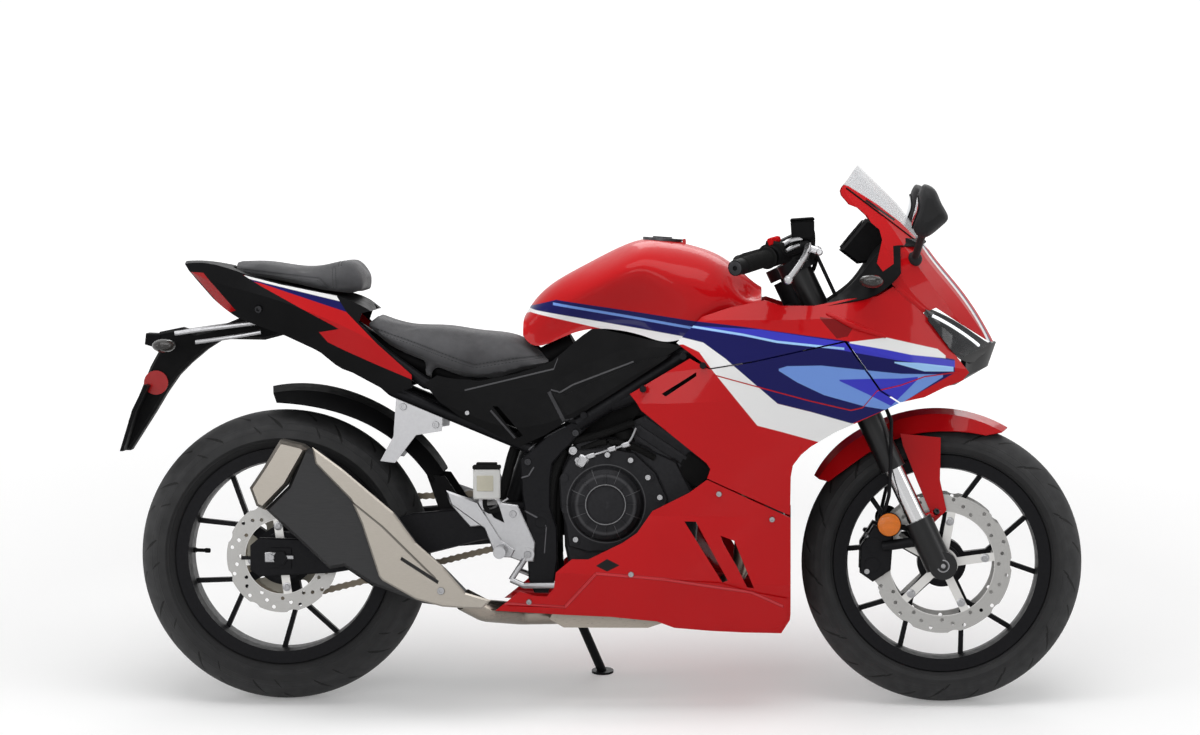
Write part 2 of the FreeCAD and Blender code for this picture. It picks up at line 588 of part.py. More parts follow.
SIDE_COVER_ROWS = [
    [(21.6, 50.6, 50), (29, 49.2, 51), (36, 50.3, 50), (41, 52.0, 47), (48, 57.0, 49), (55, 55.6, 56), (61, 55.0, 64)],
    [(22, 48.5, 53), (29, 47.2, 54), (36, 47.6, 54), (42, 49.2, 53), (48, 52.4, 55), (54, 54.0, 59), (61.5, 53.6, 66)],
    [(23, 46.0, 53), (28, 44.2, 54), (34, 42.2, 55), (40, 42.6, 55), (46, 45.2, 58), (54, 50.2, 61), (62, 53.0, 67)],
    [(24, 44.0, 50), (28, 41.5, 51), (34, 39.0, 52), (40, 39.6, 53), (46, 42.0, 56), (54, 47.0, 60), (62, 51.5, 66)],
]
SIDE_COVER_SHARES = [
    (21.9, 48.6), (24.0, 46.0), (27.0, 43.8), (36.2, 39.1), (40.0, 40.8), (44.0, 43.4), (50, 47.5), (57.5, 52.2),
    (60.8, 54.4), (56.0, 55.2), (52.0, 56.1), (48.0, 56.9), (45.9, 56.9), (41.2, 52.0), (36.0, 50.1), (30.3, 49.0),
    (29.0, 49.1), (25.0, 50.6),
]
INNER_COWL_ROWS = [
    [(89.5, 60.0, 0), (89.2, 62.5, 0), (89.0, 65.0, 0), (89.4, 68.0, 0), (92.0, 70.6, 0), (97.6, 70.0, 0)],
    [(88.6, 60.0, 36), (88.5, 62.6, 36), (88.4, 65.2, 38), (89.0, 68.0, 42), (91.6, 70.2, 44), (96.4, 69.4, 38)],
    [(80.5, 59.7, 60), (82.8, 61.2, 60), (85.2, 62.9, 60), (87.8, 65.4, 61), (90.4, 68.5, 60), (93.4, 69.4, 58)],
    [(79.8, 60.0, 83), (82.0, 60.4, 83), (85.0, 61.0, 82), (88.6, 61.7, 79), (91.6, 63.4, 74), (93.4, 65.4, 72)],
]
CRANKCASE_SHARES = [
    (43.0, 24.0), (44.0, 19.5), (48.0, 18.0), (58.0, 18.0), (62.5, 21.0), (63.0, 31.0), (60.0, 37.0), (52.0, 40.5),
    (45.0, 40.6), (42.6, 36.0),
]
CYLINDER_SHARES = [(51.0, 39.5), (60.5, 33.0), (66.0, 39.5), (68.5, 46.0), (60.5, 52.0), (55.5, 46.5)]
OIL_PAN_SHARES = [(47.0, 18.0), (48.5, 15.4), (58.0, 15.4), (60.5, 18.0)]
PIVOT_PLATE_SHARES = [
    (38.5, 39.0), (40.5, 40.9), (44.0, 42.8), (46.0, 43.5), (47.2, 42.6), (44.6, 40.2), (42.5, 38.0), (41.2, 36.5),
    (40.9, 34.0), (40.9, 30.0), (41.9, 26.8), (42.0, 22.0), (41.5, 19.0), (40.5, 17.0), (38.5, 17.0), (37.6, 19.0),
    (37.4, 23.5), (37.2, 28.0), (36.6, 32.0), (36.3, 37.0),
]
HUGGER_ROWS = [
    [(24.5, 35.5, 0), (20.0, 41.0, 0), (13.0, 45.6, 0), (5.0, 47.9, 0), (-2.0, 47.6, 0)],
    [(24.3, 34.9, 24), (19.8, 40.2, 24), (12.9, 44.8, 24), (5.0, 47.0, 22), (-1.6, 46.7, 18)],
    [(22.8, 33.5, 37), (18.8, 38.3, 37), (12.3, 42.6, 36), (5.0, 44.8, 32), (-1.0, 45.4, 24)],
]
MUFFLER_END_SHARES = [(0.6, 40.3), (3.9, 39.5), (4.7, 38.9), (1.6, 33.5), (-1.9, 29.9), (-3.0, 30.4), (-4.0, 33.1),
                      (-1.9, 36.2)]
MUFFLER_SHARES = [
    (4.2, 39.0), (6.0, 38.6), (10.0, 35.4), (17.7, 28.9), (21.0, 24.4), (25.2, 20.7), (28.5, 17.3), (30.6, 16.2),
    (30.6, 15.0), (27.5, 15.1), (22.0, 15.8), (14.5, 18.5), (10.2, 21.3), (8.0, 20.9), (-1.7, 29.9), (1.8, 33.4),
]
GUARD_SHARES = [
    (5.5, 39.3), (10.0, 36.0), (17.7, 29.5), (21.0, 25.0), (25.2, 21.3), (28.5, 17.5), (32.3, 16.4), (31.0, 15.1),
    (28.0, 15.2), (25.0, 15.4), (21.0, 16.5), (16.0, 19.3), (15.5, 19.9), (12.9, 27.8), (11.3, 31.4), (6.0, 36.8),
]
GUARD_SLOT_SHARES = [(18.9, 22.9), (24.5, 19.3), (24.3, 18.8), (18.7, 22.4)]
FENDER_PROFILE_SHARES = [(109.9, 41.5), (105.0, 43.5), (100.0, 44.3), (97.0, 44.3), (93.5, 43.5), (88.0, 41.5),
                         (84.0, 38.5), (80.8, 34.0)]
PLATE_BRACKET_SHARES = [
    (-19.2, 56.1), (-15.8, 56.8), (-13.5, 56.0), (-10.8, 56.6), (-6.3, 58.5), (0.8, 55.9), (-3.0, 54.9), (-9.5, 55.0),
    (-12.0, 53.4), (-14.5, 51.3), (-16.3, 49.5), (-18.2, 46.8), (-20.0, 43.8), (-23.7, 38.0), (-24.7, 38.0),
    (-24.0, 42.6), (-22.0, 47.3), (-20.6, 50.8), (-19.4, 53.0),
]
STEP_PLATE_SHARES = [
    (25.2, 32.5), (30.0, 30.8), (30.6, 34.0), (32.2, 34.0), (33.5, 30.6), (36.0, 30.3), (38.6, 24.6), (38.4, 21.8), (36.6, 21.8), (34.8, 22.4),
    (32.6, 22.4), (31.0, 27.2), (28.8, 27.0), (25.7, 30.5),
]
PILLION_STEP_SHARES = [(17.6, 46.3), (24.6, 43.4), (24.4, 41.4), (20.6, 40.8), (17.4, 36.6), (15.2, 36.9),
                       (17.2, 40.6)]
MIRROR_HEAD_SHARES = [(96.8, 78.6), (98.2, 77.8), (99.2, 75.7), (100.1, 73.4), (99.3, 72.5), (96.0, 70.8),
                      (94.9, 72.3), (95.4, 75.0), (96.2, 78.2)]
RADIATOR_SHARES = [(73.6, 28.0), (76.2, 28.0), (72.6, 49.0), (70.0, 49.0)]
DASH_SHARES = [(84.4, 68.6), (88.4, 73.4), (92.4, 72.4), (90.6, 67.0), (87.0, 66.6)]

# Reach of a cut through the whole bike
SIDE_REACH = 450.0


def side_cut(shares, half=SIDE_REACH):
    """Side-view outline run out past the left side, to keep or cut a panel with."""
    return plate(shares, 0, half)


def panel(rows, shares, wall=PANEL_WALL):
    """The stretch of a left-hand skin inside a side-view outline."""
    return skin(rows, wall).common(side_cut(shares))


# Frame
FRAME_TUBE_RADIUS = 17.0
HEAD_TUBE_RADIUS = 33.0
HEAD_LOW_UP = 868.0
HEAD_HIGH_UP = 1004.0
STEM_RADIUS = 15.0
STEM_GAP = 5.5
BEARING_CLEARANCE = 0.05
BEARING_HEIGHT = 15.0
PLATE_BEVEL = 3.0
PIVOT_PLATE_INNER = 116.0
PIVOT_PLATE_OUTER = 128.0
SUBFRAME_RADIUS = 12.5
SUBFRAME_BEND = 40.0
PIVOT_SHARES = (39.4, 27.7)
PIVOT_RADIUS = 12.0
PIVOT_BOSS_RADIUS = 24.0
FRAME_SIDE_SHARES = 52.0
FRAME_PATH_SHARES = [(45.0, 42.6, 51), (60.6, 52.6, 56), (69.0, 55.8, 38), (78.6, 60.0, 4)]
FRAME_LOWER_PATH_SHARES = [(50.0, 45.5, 52), (63.0, 50.6, 54), (79.6, 57.4, 5)]
SUBFRAME_PATH_SHARES = [(45.0, 43.2, 49), (22.0, 48.6, 43), (10.0, 57.0, 36), (-8.0, 61.6, 26)]
SUBFRAME_STAY_SHARES = [(38.4, 38.6, 46), (17.0, 47.4, 43), (6.0, 57.2, 34)]
CROSS_TUBE_SHARES = [(45.0, 43.2, 44), (22.0, 48.6, 43), (-2.0, 60.1, 30), (40.0, 19.4, 47)]
STAND_CROSS_SHARES = (40.0, 19.4)
STAY_RADIUS = 7.0
PEG_PLACES_SHARES = {
    "side_cowls": [(64.0, 51.6, 50, 90), (55.0, 48.0, 50, 80)],
    "side_covers": [(61.0, 52.9, 54, 80), (46.0, 43.9, 50, 62), (24.0, 47.8, 40, 60)],
    "lower_cowl": [(44.6, 21.0, 44.9, 80), (61.6, 31.0, 44.9, 88)],
    "tail_panels": [(10.0, 56.9, 30, 60)],
}
CENTRE_STAY_SHARES = [(79.6, 59.6, 0), (96.6, 57.2, 0), (105.0, 53.2, 0)]
MAST_SHARES = [(92.0, 58.2, 0), (92.4, 68.0, 0)]
STAY_ENDS_SHARES = {
    "headlamp": [(96.6, 57.0, 0), (101.0, 56.8, 64)],
    "side_cowls": [(91.0, 58.2, 0), (90.6, 58.6, 88)],
    "nose_cowl": [(92.4, 66.8, 0), (94.6, 67.0, 62)],
    "radiator": [(69.4, 55.8, 38), (71.4, 48.4, 38)],
}
ENGINE_HALF_WIDTH = 108.0
CRANK_HALF_WIDTH = 112.0
COVER_THICKNESS = 46.0


def along_shares(path, side=1):
    return [at(x, z, side * width(w)) for x, z, w in path]


# Side stand
STAND_PIVOT_SHARES = (41.9, 17.6)
STAND_PIVOT_Y = 100.0
STAND_LUG_RADIUS = 13.0
STAND_NECK_HALF = 10.0
STAND_WEB_REACH = 22.0
STAND_LUG_HALF = 4.0
STAND_FORK_GAP = 0.5
STAND_EAR = 6.0
STAND_RADIUS = 10.0
STAND_FOOT_RADIUS = 24.0
STAND_BOLT_RADIUS = 5.0
STAND_EAR_RADIUS = 15.0
STAND_FORWARD_ANGLE = 20.0
STAND_OUT_ANGLE = 24.0
STAND_RETRACT = 95.0
STAND_TUCK_ANGLE = 4.0
STAND_FOOT_THICKNESS = 5.0


def direction(forward_angle, out_angle):
    """Unit direction downward, tipped forward and out to the left by two angles."""
    forward = math.radians(forward_angle)
    out = math.radians(out_angle)
    return V(math.sin(forward), math.sin(out), -math.cos(forward) * math.cos(out)).normalize()


STAND_PIVOT = at(*STAND_PIVOT_SHARES, STAND_PIVOT_Y)
STAND_DOWN = direction(STAND_FORWARD_ANGLE, STAND_OUT_ANGLE)
STAND_UP = direction(STAND_FORWARD_ANGLE - STAND_RETRACT, STAND_TUCK_ANGLE)
STAND_AXIS = STAND_DOWN.cross(STAND_UP).normalize()


def floor_gap(point):
    """Height over the floor that the leaning bike's tyres stand on, of a point of the upright bike."""
    return point.z * LEAN_COS - point.y * LEAN_SIN + FLOOR_LIFT


STAND_LENGTH = floor_gap(STAND_PIVOT) / (floor_gap(STAND_PIVOT) - floor_gap(STAND_PIVOT + STAND_DOWN))


def stand_lug():
    """Eye and neck between the stand's ears, square to the pivot bolt, up to the cross tube."""
    low = STAND_PIVOT - STAND_AXIS * STAND_LUG_HALF
    eye = Part.makeCylinder(STAND_LUG_RADIUS, STAND_LUG_HALF * 2, low, STAND_AXIS)
    toward = at(*STAND_CROSS_SHARES, STAND_PIVOT_Y) - STAND_PIVOT
    toward = toward - STAND_AXIS * toward.dot(STAND_AXIS)
    half = STAND_AXIS.cross(toward).normalize() * STAND_NECK_HALF
    corners = [low - half, low + half, low + half + toward, low - half + toward]
    neck = Part.Face(Part.makePolygon(corners + corners[:1])).extrude(STAND_AXIS * (STAND_LUG_HALF * 2))
    return [eye, neck]


def panel_stays():
    """Pegs and rods that end on the inner face of what they carry, from the tubes and from a central mast."""
    carried = {piece.__name__: piece for piece in (side_cowls, side_covers, lower_cowl, tail_panels, headlamp,
                                                   nose_cowl, radiator)}
    stays = []
    for name, places in PEG_PLACES_SHARES.items():
        for x, z, near, far in places:
            peg = rod(at(x, z, width(near)), at(x, z, width(far)), STAY_RADIUS)
            stays.append(inner_part(peg, carried[name]()))
    for name, ends in STAY_ENDS_SHARES.items():
        stays.append(inner_part(rod(*along_shares(ends), STAY_RADIUS), carried[name]()))
    centre = pipe(along_shares(CENTRE_STAY_SHARES), STAY_RADIUS, STAY_RADIUS * 2)
    mast = rod(*along_shares(MAST_SHARES), STAY_RADIUS)
    return stays + [mirrored(stay) for stay in stays] + [inner_part(centre, headlamp()), mast]


def inner_part(stay, cover):
    """The stay up to the cover: its piece that starts nearest to the middle of the bike."""
    pieces = stay.cut(cover).Solids
    return max(pieces, key=lambda solid: solid.Volume)


@cache
def main_frame():
    """Twin tubes from the steering head to the pivot plates, with the seat rails."""
    head = across_fork(Part.makeCylinder(HEAD_TUBE_RADIUS, HEAD_HIGH_UP - HEAD_LOW_UP), HEAD_LOW_UP)
    bore = across_fork(Part.makeCylinder(STEM_RADIUS + STEM_GAP, HEAD_HIGH_UP), HEAD_LOW_UP - CUT_OVERRUN)
    parts = []
    for side in (1, -1):
        parts.append(pipe(along_shares(FRAME_PATH_SHARES, side), FRAME_TUBE_RADIUS, SUBFRAME_BEND))
        parts.append(pipe(along_shares(FRAME_LOWER_PATH_SHARES, side), FRAME_TUBE_RADIUS, SUBFRAME_BEND))
        parts.append(pipe(along_shares(SUBFRAME_PATH_SHARES, side), SUBFRAME_RADIUS, SUBFRAME_BEND))
        parts.append(pipe(along_shares(SUBFRAME_STAY_SHARES, side), SUBFRAME_RADIUS, SUBFRAME_BEND))
        low, high = sorted((side * PIVOT_PLATE_INNER, side * PIVOT_PLATE_OUTER))
        parts.append(bevelled(PIVOT_PLATE_SHARES, low, high, PLATE_BEVEL, PLATE_BEVEL))
        parts.append(disc_at(at(*PIVOT_SHARES, (low + high) / 2), PIVOT_BOSS_RADIUS, high - low + PANEL_WALL))
    parts += cross_tubes() + stand_lug()
    pivot = disc_at(at(*PIVOT_SHARES), PIVOT_RADIUS + AXLE_CLEARANCE, SIDE_REACH)
    bolt = rod(STAND_PIVOT - STAND_AXIS * STAND_LENGTH, STAND_PIVOT + STAND_AXIS * STAND_LENGTH,
               STAND_BOLT_RADIUS + AXLE_CLEARANCE)
    return head.multiFuse(parts + panel_stays()).cut(Part.makeCompound([bore, pivot, bolt]))


@cache
def engine():
    """Crankcase, forward-leaning cylinder block and oil pan as one block, with the output sprocket."""
    case = bevelled(CRANKCASE_SHARES, -CRANK_HALF_WIDTH, CRANK_HALF_WIDTH, CASE_BEVEL, CASE_BEVEL)
    pocket = plate(SPROCKET_POCKET_SHARES, CHAIN_OFFSET - POCKET_DEPTH, CRANK_HALF_WIDTH + CUT_OVERRUN)
    centre = at(*SPROCKET_SHARES, CHAIN_OFFSET)
    wheel = disc_at(centre, pitch_radius(FRONT_TEETH) - PLATE_WAIST, SPROCKET_THICKNESS)
    shaft = disc_at(centre, AXLE_RADIUS, POCKET_DEPTH * 2)
    cylinder = plate(CYLINDER_SHARES, -CYLINDER_HALF_WIDTH, CYLINDER_HALF_WIDTH)
    fins = [plate([low, high, line_share(high, FIN_REACH_SHARE), line_share(low, FIN_REACH_SHARE)],
                  -ENGINE_HALF_WIDTH, ENGINE_HALF_WIDTH) for low, high in fin_lines()]
    head = bevelled(HEAD_COVER_SHARES, -ENGINE_HALF_WIDTH, ENGINE_HALF_WIDTH, CASE_BEVEL, CASE_BEVEL)
    pan = bevelled(OIL_PAN_SHARES, -ENGINE_HALF_WIDTH / 2, ENGINE_HALF_WIDTH / 2, CASE_BEVEL, CASE_BEVEL)
    return case.cut(pocket).multiFuse([cylinder, head, pan, wheel, shaft] + fins)


def line_share(point, reach):
    """The place beside a fin line, up the cylinder's own slope."""
    return (point[0] + reach * CYLINDER_SLOPE[0], point[1] + reach * CYLINDER_SLOPE[1])


def fin_lines():
    """Rear and front ends of each rib across the side of the cylinder block."""
    lines = []
    for k in range(FINS):
        lines.append((line_share(FIN_START_SHARES[0], k * FIN_PITCH_SHARE),
                      line_share(FIN_START_SHARES[1], k * FIN_PITCH_SHARE)))
    return lines


FINS = 4
FIN_PITCH_SHARE = 1.5
FIN_REACH_SHARE = 0.5
CYLINDER_SLOPE = (0.55, 0.835)
CYLINDER_HALF_WIDTH = 100.0
CASE_BEVEL = 6.0
FIN_START_SHARES = [(52.3, 39.4), (61.0, 33.6)]
HEAD_COVER_SHARES = [(55.8, 46.2), (63.9, 40.2), (66.6, 40.6), (68.6, 45.6), (60.6, 52.0), (57.4, 49.2)]


SPROCKET_SHARES = (46.8, 29.2)
SPROCKET_POCKET_SHARES = [(40.0, 22.5), (48.5, 24.0), (51.5, 27.0), (51.5, 32.5), (48.5, 34.5), (40.0, 34.5)]
POCKET_DEPTH = 12.0
CLUTCH_SHARES = (49.3, 30.5)
CLUTCH_STEP_RADIUS = 64.0
CLUTCH_RING_RADIUS = 42.0
SPROCKET_COVER_SHARES = [(42.4, 25.0), (47.0, 23.0), (56.0, 23.0), (56.0, 33.5), (47.0, 35.5), (42.4, 33.5)]
ALTERNATOR_SHARES = (55.6, 27.5)
ALTERNATOR_RADIUS = 78.0


COVER_BASE_SHARES = [
    (43.6, 37.0), (45.0, 38.6), (49.5, 39.0), (53.6, 38.2), (56.8, 35.2), (58.6, 31.2), (57.2, 26.8), (53.0, 23.4),
    (46.5, 23.2), (43.6, 24.0), (43.2, 27.0), (42.4, 30.0), (42.2, 34.2),
]
COVER_BASE_DEPTH = 12.0
COVER_PROFILE = [(0, 0), (0, 80), (6, 80), (22, 74), (30, 66), (31, 44), (34, 43), (34, 40), (31, 39), (32, 0)]
COVER_BOLT_SHARES = [(43.0, 34.4), (45.2, 37.3), (49.5, 38.0), (53, 37.1), (55.9, 34.5), (57.4, 31.3), (43.2, 29.6),
                     (44.7, 24.8), (51.5, 24.2), (56.0, 27.0)]
COVER_BOSS_RADIUS = 8.5
COVER_BOSS_DEPTH = 16.0
COVER_RIBS = 8
RIB_HALF = 1.5


def cover_profile(centre, side):
    """Domed cover with a raised ring, turned about the crank line, and short ribs across its shoulder."""
    dome = lathe([(side * y, r) for y, r in COVER_PROFILE], centre)
    reach = max(y for y, r in COVER_PROFILE) - RIM_LIP
    ribs = []
    for k in range(COVER_RIBS):
        a = math.radians(k * FULL_TURN / COVER_RIBS)
        out = V(math.cos(a), 0, math.sin(a))
        across = V(-math.sin(a), 0, math.cos(a)) * RIB_HALF
        near = centre + out * CLUTCH_RING_RADIUS
        far = centre + out * CLUTCH_STEP_RADIUS
        ring = [near - across, near + across, far + across, far - across]
        ribs.append(Part.Face(Part.makePolygon(ring + ring[:1])).extrude(V(0, side * (reach + RIM_LIP), 0)))
    return dome.multiFuse(ribs)


@cache
def engine_covers():
    """Domed clutch cover in its bolted base on the right, alternator and sprocket covers on the left."""
    face = -CRANK_HALF_WIDTH
    base = bevelled(COVER_BASE_SHARES, face, face - COVER_BASE_DEPTH, PLATE_BEVEL, PLATE_BEVEL)
    bosses = [Part.makeCylinder(COVER_BOSS_RADIUS, COVER_BOSS_DEPTH, at(x, z, face), V(0, -1, 0))
              for x, z in COVER_BOLT_SHARES]
    right = base.multiFuse(bosses + [cover_profile(at(*CLUTCH_SHARES, face - COVER_BASE_DEPTH), -1)])
    left = Part.makeCylinder(ALTERNATOR_RADIUS + COVER_BOSS_RADIUS, COVER_BASE_DEPTH,
                             at(*ALTERNATOR_SHARES, CRANK_HALF_WIDTH), V(0, 1, 0))
    cap = cover_profile(at(*ALTERNATOR_SHARES, CRANK_HALF_WIDTH + COVER_BASE_DEPTH / 2), 1)
    guard = bevelled(SPROCKET_COVER_SHARES, CRANK_HALF_WIDTH, CRANK_HALF_WIDTH + COVER_BOSS_DEPTH, PLATE_BEVEL,
                     PLATE_BEVEL)
    return Part.makeCompound([right, left.multiFuse([cap, guard])])


RADIATOR_HALF_WIDTH = 150.0


@cache
def radiator():
    return plate(RADIATOR_SHARES, -RADIATOR_HALF_WIDTH, RADIATOR_HALF_WIDTH)


LID_SHARES = (57.5, 70.0)
LID_RADIUS = 42.0
LID_HEIGHT = 9.0
LID_HOLE_GAP = 2.0
FILLER_DEPTH = 40.0
FILLER_RADIUS = 30.0
LID_TILT = 4.0
LID_SEAT_RADIUS = 46.0
LID_HINGE_REACH = 5.0
LID_HINGE_RISE = 4.5
KNUCKLE_RADIUS = 3.5
KNUCKLE_HALF = 9.0
KNUCKLE_GAP = 0.5
PIN_RADIUS = 1.5
PIN_CLEARANCE = 0.05
EAR_THICKNESS = 4.0


LID_SLOPE = math.radians(LID_TILT)
LID_HINGE = (at(*LID_SHARES) + V(math.cos(LID_SLOPE), 0, -math.sin(LID_SLOPE)) * (LID_RADIUS + LID_HINGE_REACH)
             + V(math.sin(LID_SLOPE), 0, math.cos(LID_SLOPE)) * LID_HINGE_RISE)


def lid_frame(shape):
    """Place a shape made about its own Z axis on the slope of the tank top."""
    copy = shape.copy()
    copy.rotate(V(0, 0, 0), V(0, 1, 0), LID_TILT)
    copy.translate(at(*LID_SHARES))
    return copy


@cache
def fuel_tank():
    body = ring_loft(TANK_SECTIONS)
    well = Part.makeCylinder(FILLER_RADIUS, FILLER_DEPTH * 2, V(0, 0, -FILLER_DEPTH))
    boss = lid_frame(Part.makeCylinder(LID_SEAT_RADIUS, FILLER_DEPTH, V(0, 0, -FILLER_DEPTH)))
    above = lid_frame(Part.makeCylinder(LID_SEAT_RADIUS + LID_HINGE_REACH, FILLER_DEPTH))
    seat = body.fuse(boss).cut(Part.makeCompound([lid_frame(well), above]))
    ears = []
    for side in (1, -1):
        near = LID_HINGE + V(0, side * (KNUCKLE_HALF + KNUCKLE_GAP), 0)
        ears.append(Part.makeCylinder(KNUCKLE_RADIUS, EAR_THICKNESS, near, V(0, side, 0)))
        foot = near - V(0, 0, LID_HINGE_RISE + PANEL_WALL)
        post = Part.makeBox(KNUCKLE_RADIUS * 2, EAR_THICKNESS, LID_HINGE_RISE + PANEL_WALL)
        post.translate(foot + V(-KNUCKLE_RADIUS, min(0, side * EAR_THICKNESS), 0))
        ears.append(post)
    pin = disc_at(LID_HINGE, PIN_RADIUS, (KNUCKLE_HALF + KNUCKLE_GAP + EAR_THICKNESS) * 2)
    return seat.multiFuse(ears + [pin])


@cache
def tank_lid():
    """Round filler cap with a raised lock flap and a knuckle on the hinge pin."""
    cap = Part.makeCylinder(LID_RADIUS, LID_HEIGHT - PANEL_WALL, V(0, 0, SEAT_GAP))
    flap = Part.makeCylinder(LID_RADIUS / 2, LID_HEIGHT, V(0, 0, SEAT_GAP))
    knuckle = disc_at(LID_HINGE, KNUCKLE_RADIUS, KNUCKLE_HALF * 2)
    bar = Part.makeBox(LID_HINGE_REACH * 2, KNUCKLE_HALF, KNUCKLE_RADIUS,
                       V(LID_RADIUS - LID_HINGE_REACH, -KNUCKLE_HALF / 2, LID_HINGE_RISE - KNUCKLE_RADIUS / 2))
    bore = disc_at(LID_HINGE, PIN_RADIUS + PIN_CLEARANCE, FILLER_DEPTH)
    return lid_frame(cap.multiFuse([flap, bar])).fuse(knuckle).cut(bore)


def seat_rails():
    return [pipe(along_shares(path, side), SUBFRAME_RADIUS, SUBFRAME_BEND) for side in (1, -1)
            for path in (SUBFRAME_PATH_SHARES, SUBFRAME_STAY_SHARES)]


def cross_tubes():
    return [rod(at(x, z, -width(w)), at(x, z, width(w)), SUBFRAME_RADIUS) for x, z, w in CROSS_TUBE_SHARES]


SEAT_FOOT_SHARES = [(22.6, 53.6, 40), (22.6, 48.4, 42.6)]
SEAT_FOOT_RADIUS = 11.0


@cache
def rider_seat():
    """Stepped seat with a rubber foot on each seat rail."""
    foot = rod(*along_shares(SEAT_FOOT_SHARES), SEAT_FOOT_RADIUS).cut(seat_rails() + cross_tubes())
    foot = max(foot.Solids, key=lambda solid: solid.Volume)
    return ring_loft(SEAT_SECTIONS).multiFuse([foot, mirrored(foot)])


@cache
def pillion_seat():
    return ring_loft(PILLION_SECTIONS)


@cache
def tail_cowl():
    openings = [side_cut(TAIL_LAMP_SHARES), side_cut(TAIL_RED_SHARES)]
    side = panel(TAIL_ROWS, TAIL_BLACK_SHARES).cut(Part.makeCompound(openings))
    whole = joined_halves(side.fuse(skin(TAIL_FLOOR_ROWS, PANEL_WALL)))
    trimmed = whole.cut(seat_rails() + [pillion_seat()])
    return max(trimmed.Solids, key=lambda solid: solid.Volume)


@cache
def tail_panels():
    return both(panel(TAIL_ROWS, TAIL_RED_SHARES))


@cache
def tail_lenses():
    """Lamp wrapped round both sides of the tail, and a round reflector on each side of the plate holder."""
    lamp = panel(TAIL_ROWS, TAIL_LAMP_SHARES, PANEL_WALL * 2).cut(tail_cowl())
    lamp = max(lamp.Solids, key=lambda solid: solid.Volume)
    return Part.makeCompound([both(lamp), both(reflector())])


def reflector():
    return Part.makeCylinder(REFLECTOR_RADIUS, REFLECTOR_DEPTH, at(*REFLECTOR_SHARES, BRACKET_HALF_WIDTH), V(0, 1, 0))


REFLECTOR_SHARES = (-19.6, 48.4)
REFLECTOR_RADIUS = 26.0
REFLECTOR_DEPTH = 8.0
BRACKET_HALF_WIDTH = 34.0
PLATE_HALF_WIDTH = 90.0
FLAP_SHARES = [(-24.7, 38.1), (-24.2, 38.1), (-22.2, 44.2), (-20.4, 48.0), (-20.9, 48.2), (-22.8, 44.4)]
PLATE_LAMP_SHARES = [(-21.4, 54.2), (-21.2, 55.9), (-18.8, 55.8), (-18.8, 53.4)]


@cache
def rear_fender():
    """Plate holder arm under the tail with its wide flap and the small lamp over it."""
    arm = bevelled(PLATE_BRACKET_SHARES, -BRACKET_HALF_WIDTH, BRACKET_HALF_WIDTH, CASE_BEVEL, CASE_BEVEL * 2)
    flap = plate(FLAP_SHARES, -PLATE_HALF_WIDTH, PLATE_HALF_WIDTH)
    lamp = bevelled(PLATE_LAMP_SHARES, -BRACKET_HALF_WIDTH, BRACKET_HALF_WIDTH, PLATE_BEVEL, PLATE_BEVEL)
    pads = disc_at(at(*REFLECTOR_SHARES), REFLECTOR_RADIUS / 2, BRACKET_HALF_WIDTH * 2)
    return arm.cut(both(reflector())).multiFuse([flap.cut(both(reflector())), lamp, pads]).cut(tail_cowl())


SIGNAL_LENGTH_SHARE = 1.8
REAR_SIGNAL_SHARES = (-17.3, 54.3)
FRONT_SIGNAL_SHARES = (89.0, 64.2)
REAR_SIGNAL_Y = 150.0
FRONT_SIGNAL_Y = 235.0
SIGNAL_HALF_HEIGHT = 14.0
SIGNAL_HALF_LENGTH = 25.0
SIGNAL_HALF_WIDTH = 30.0
STALK_RADIUS = 8.0


def signal(centre, root):
    """Egg-shaped lamp on a round stalk."""
    lamp = Part.makeSphere(SIGNAL_HALF_LENGTH)
    matrix = FreeCAD.Matrix()
    matrix.scale(1, SIGNAL_HALF_WIDTH / SIGNAL_HALF_LENGTH, SIGNAL_HALF_HEIGHT / SIGNAL_HALF_LENGTH)
    lamp = lamp.transformGeometry(matrix)
    lamp.translate(centre)
    return lamp.fuse(rod(root, centre, STALK_RADIUS))


@cache
def turn_signals():
    rear = signal(at(*REAR_SIGNAL_SHARES, REAR_SIGNAL_Y), at(*REAR_SIGNAL_SHARES, BRACKET_HALF_WIDTH))
    front = signal(at(*FRONT_SIGNAL_SHARES, FRONT_SIGNAL_Y), at(*FRONT_SIGNAL_SHARES, MIRROR_FOOT_Y))
    front = max(front.cut(inner_cowl()).Solids, key=lambda solid: solid.Volume)
    return Part.makeCompound([both(rear), both(front)])


RAISED_RISE = 1.6
RAISED_SHARES = [(41.2, 47.2), (43.2, 47.0), (54.8, 52.2), (59.0, 52.9), (57.2, 51.6), (50.0, 46.9), (44.0, 43.2)]
COVER_SLOT_SHARES = [(32.2, 45.2), (33.0, 45.2), (36.8, 40.8), (36.0, 40.4)]


@cache
def side_covers():
    """Covers under the tank and seat, each with a raised field and a slanted slot."""
    side = panel(SIDE_COVER_ROWS, SIDE_COVER_SHARES).cut(side_cut(COVER_SLOT_SHARES))
    raised = panel(lifted(SIDE_COVER_ROWS, RAISED_RISE), RAISED_SHARES, PANEL_WALL * 2)
    return both(side.fuse(raised))


@cache
def nose_cowl():
    return joined_halves(panel(NOSE_ROWS, NOSE_SHARES).cut(side_cut(SCREEN_SHARES)))


def joined_halves(half):
    """One solid of a left half and its mirror image that meet on the centre plane."""
    return half.fuse(mirrored(half))


@cache
def windscreen():
    return joined_halves(panel(NOSE_ROWS, SCREEN_SHARES))


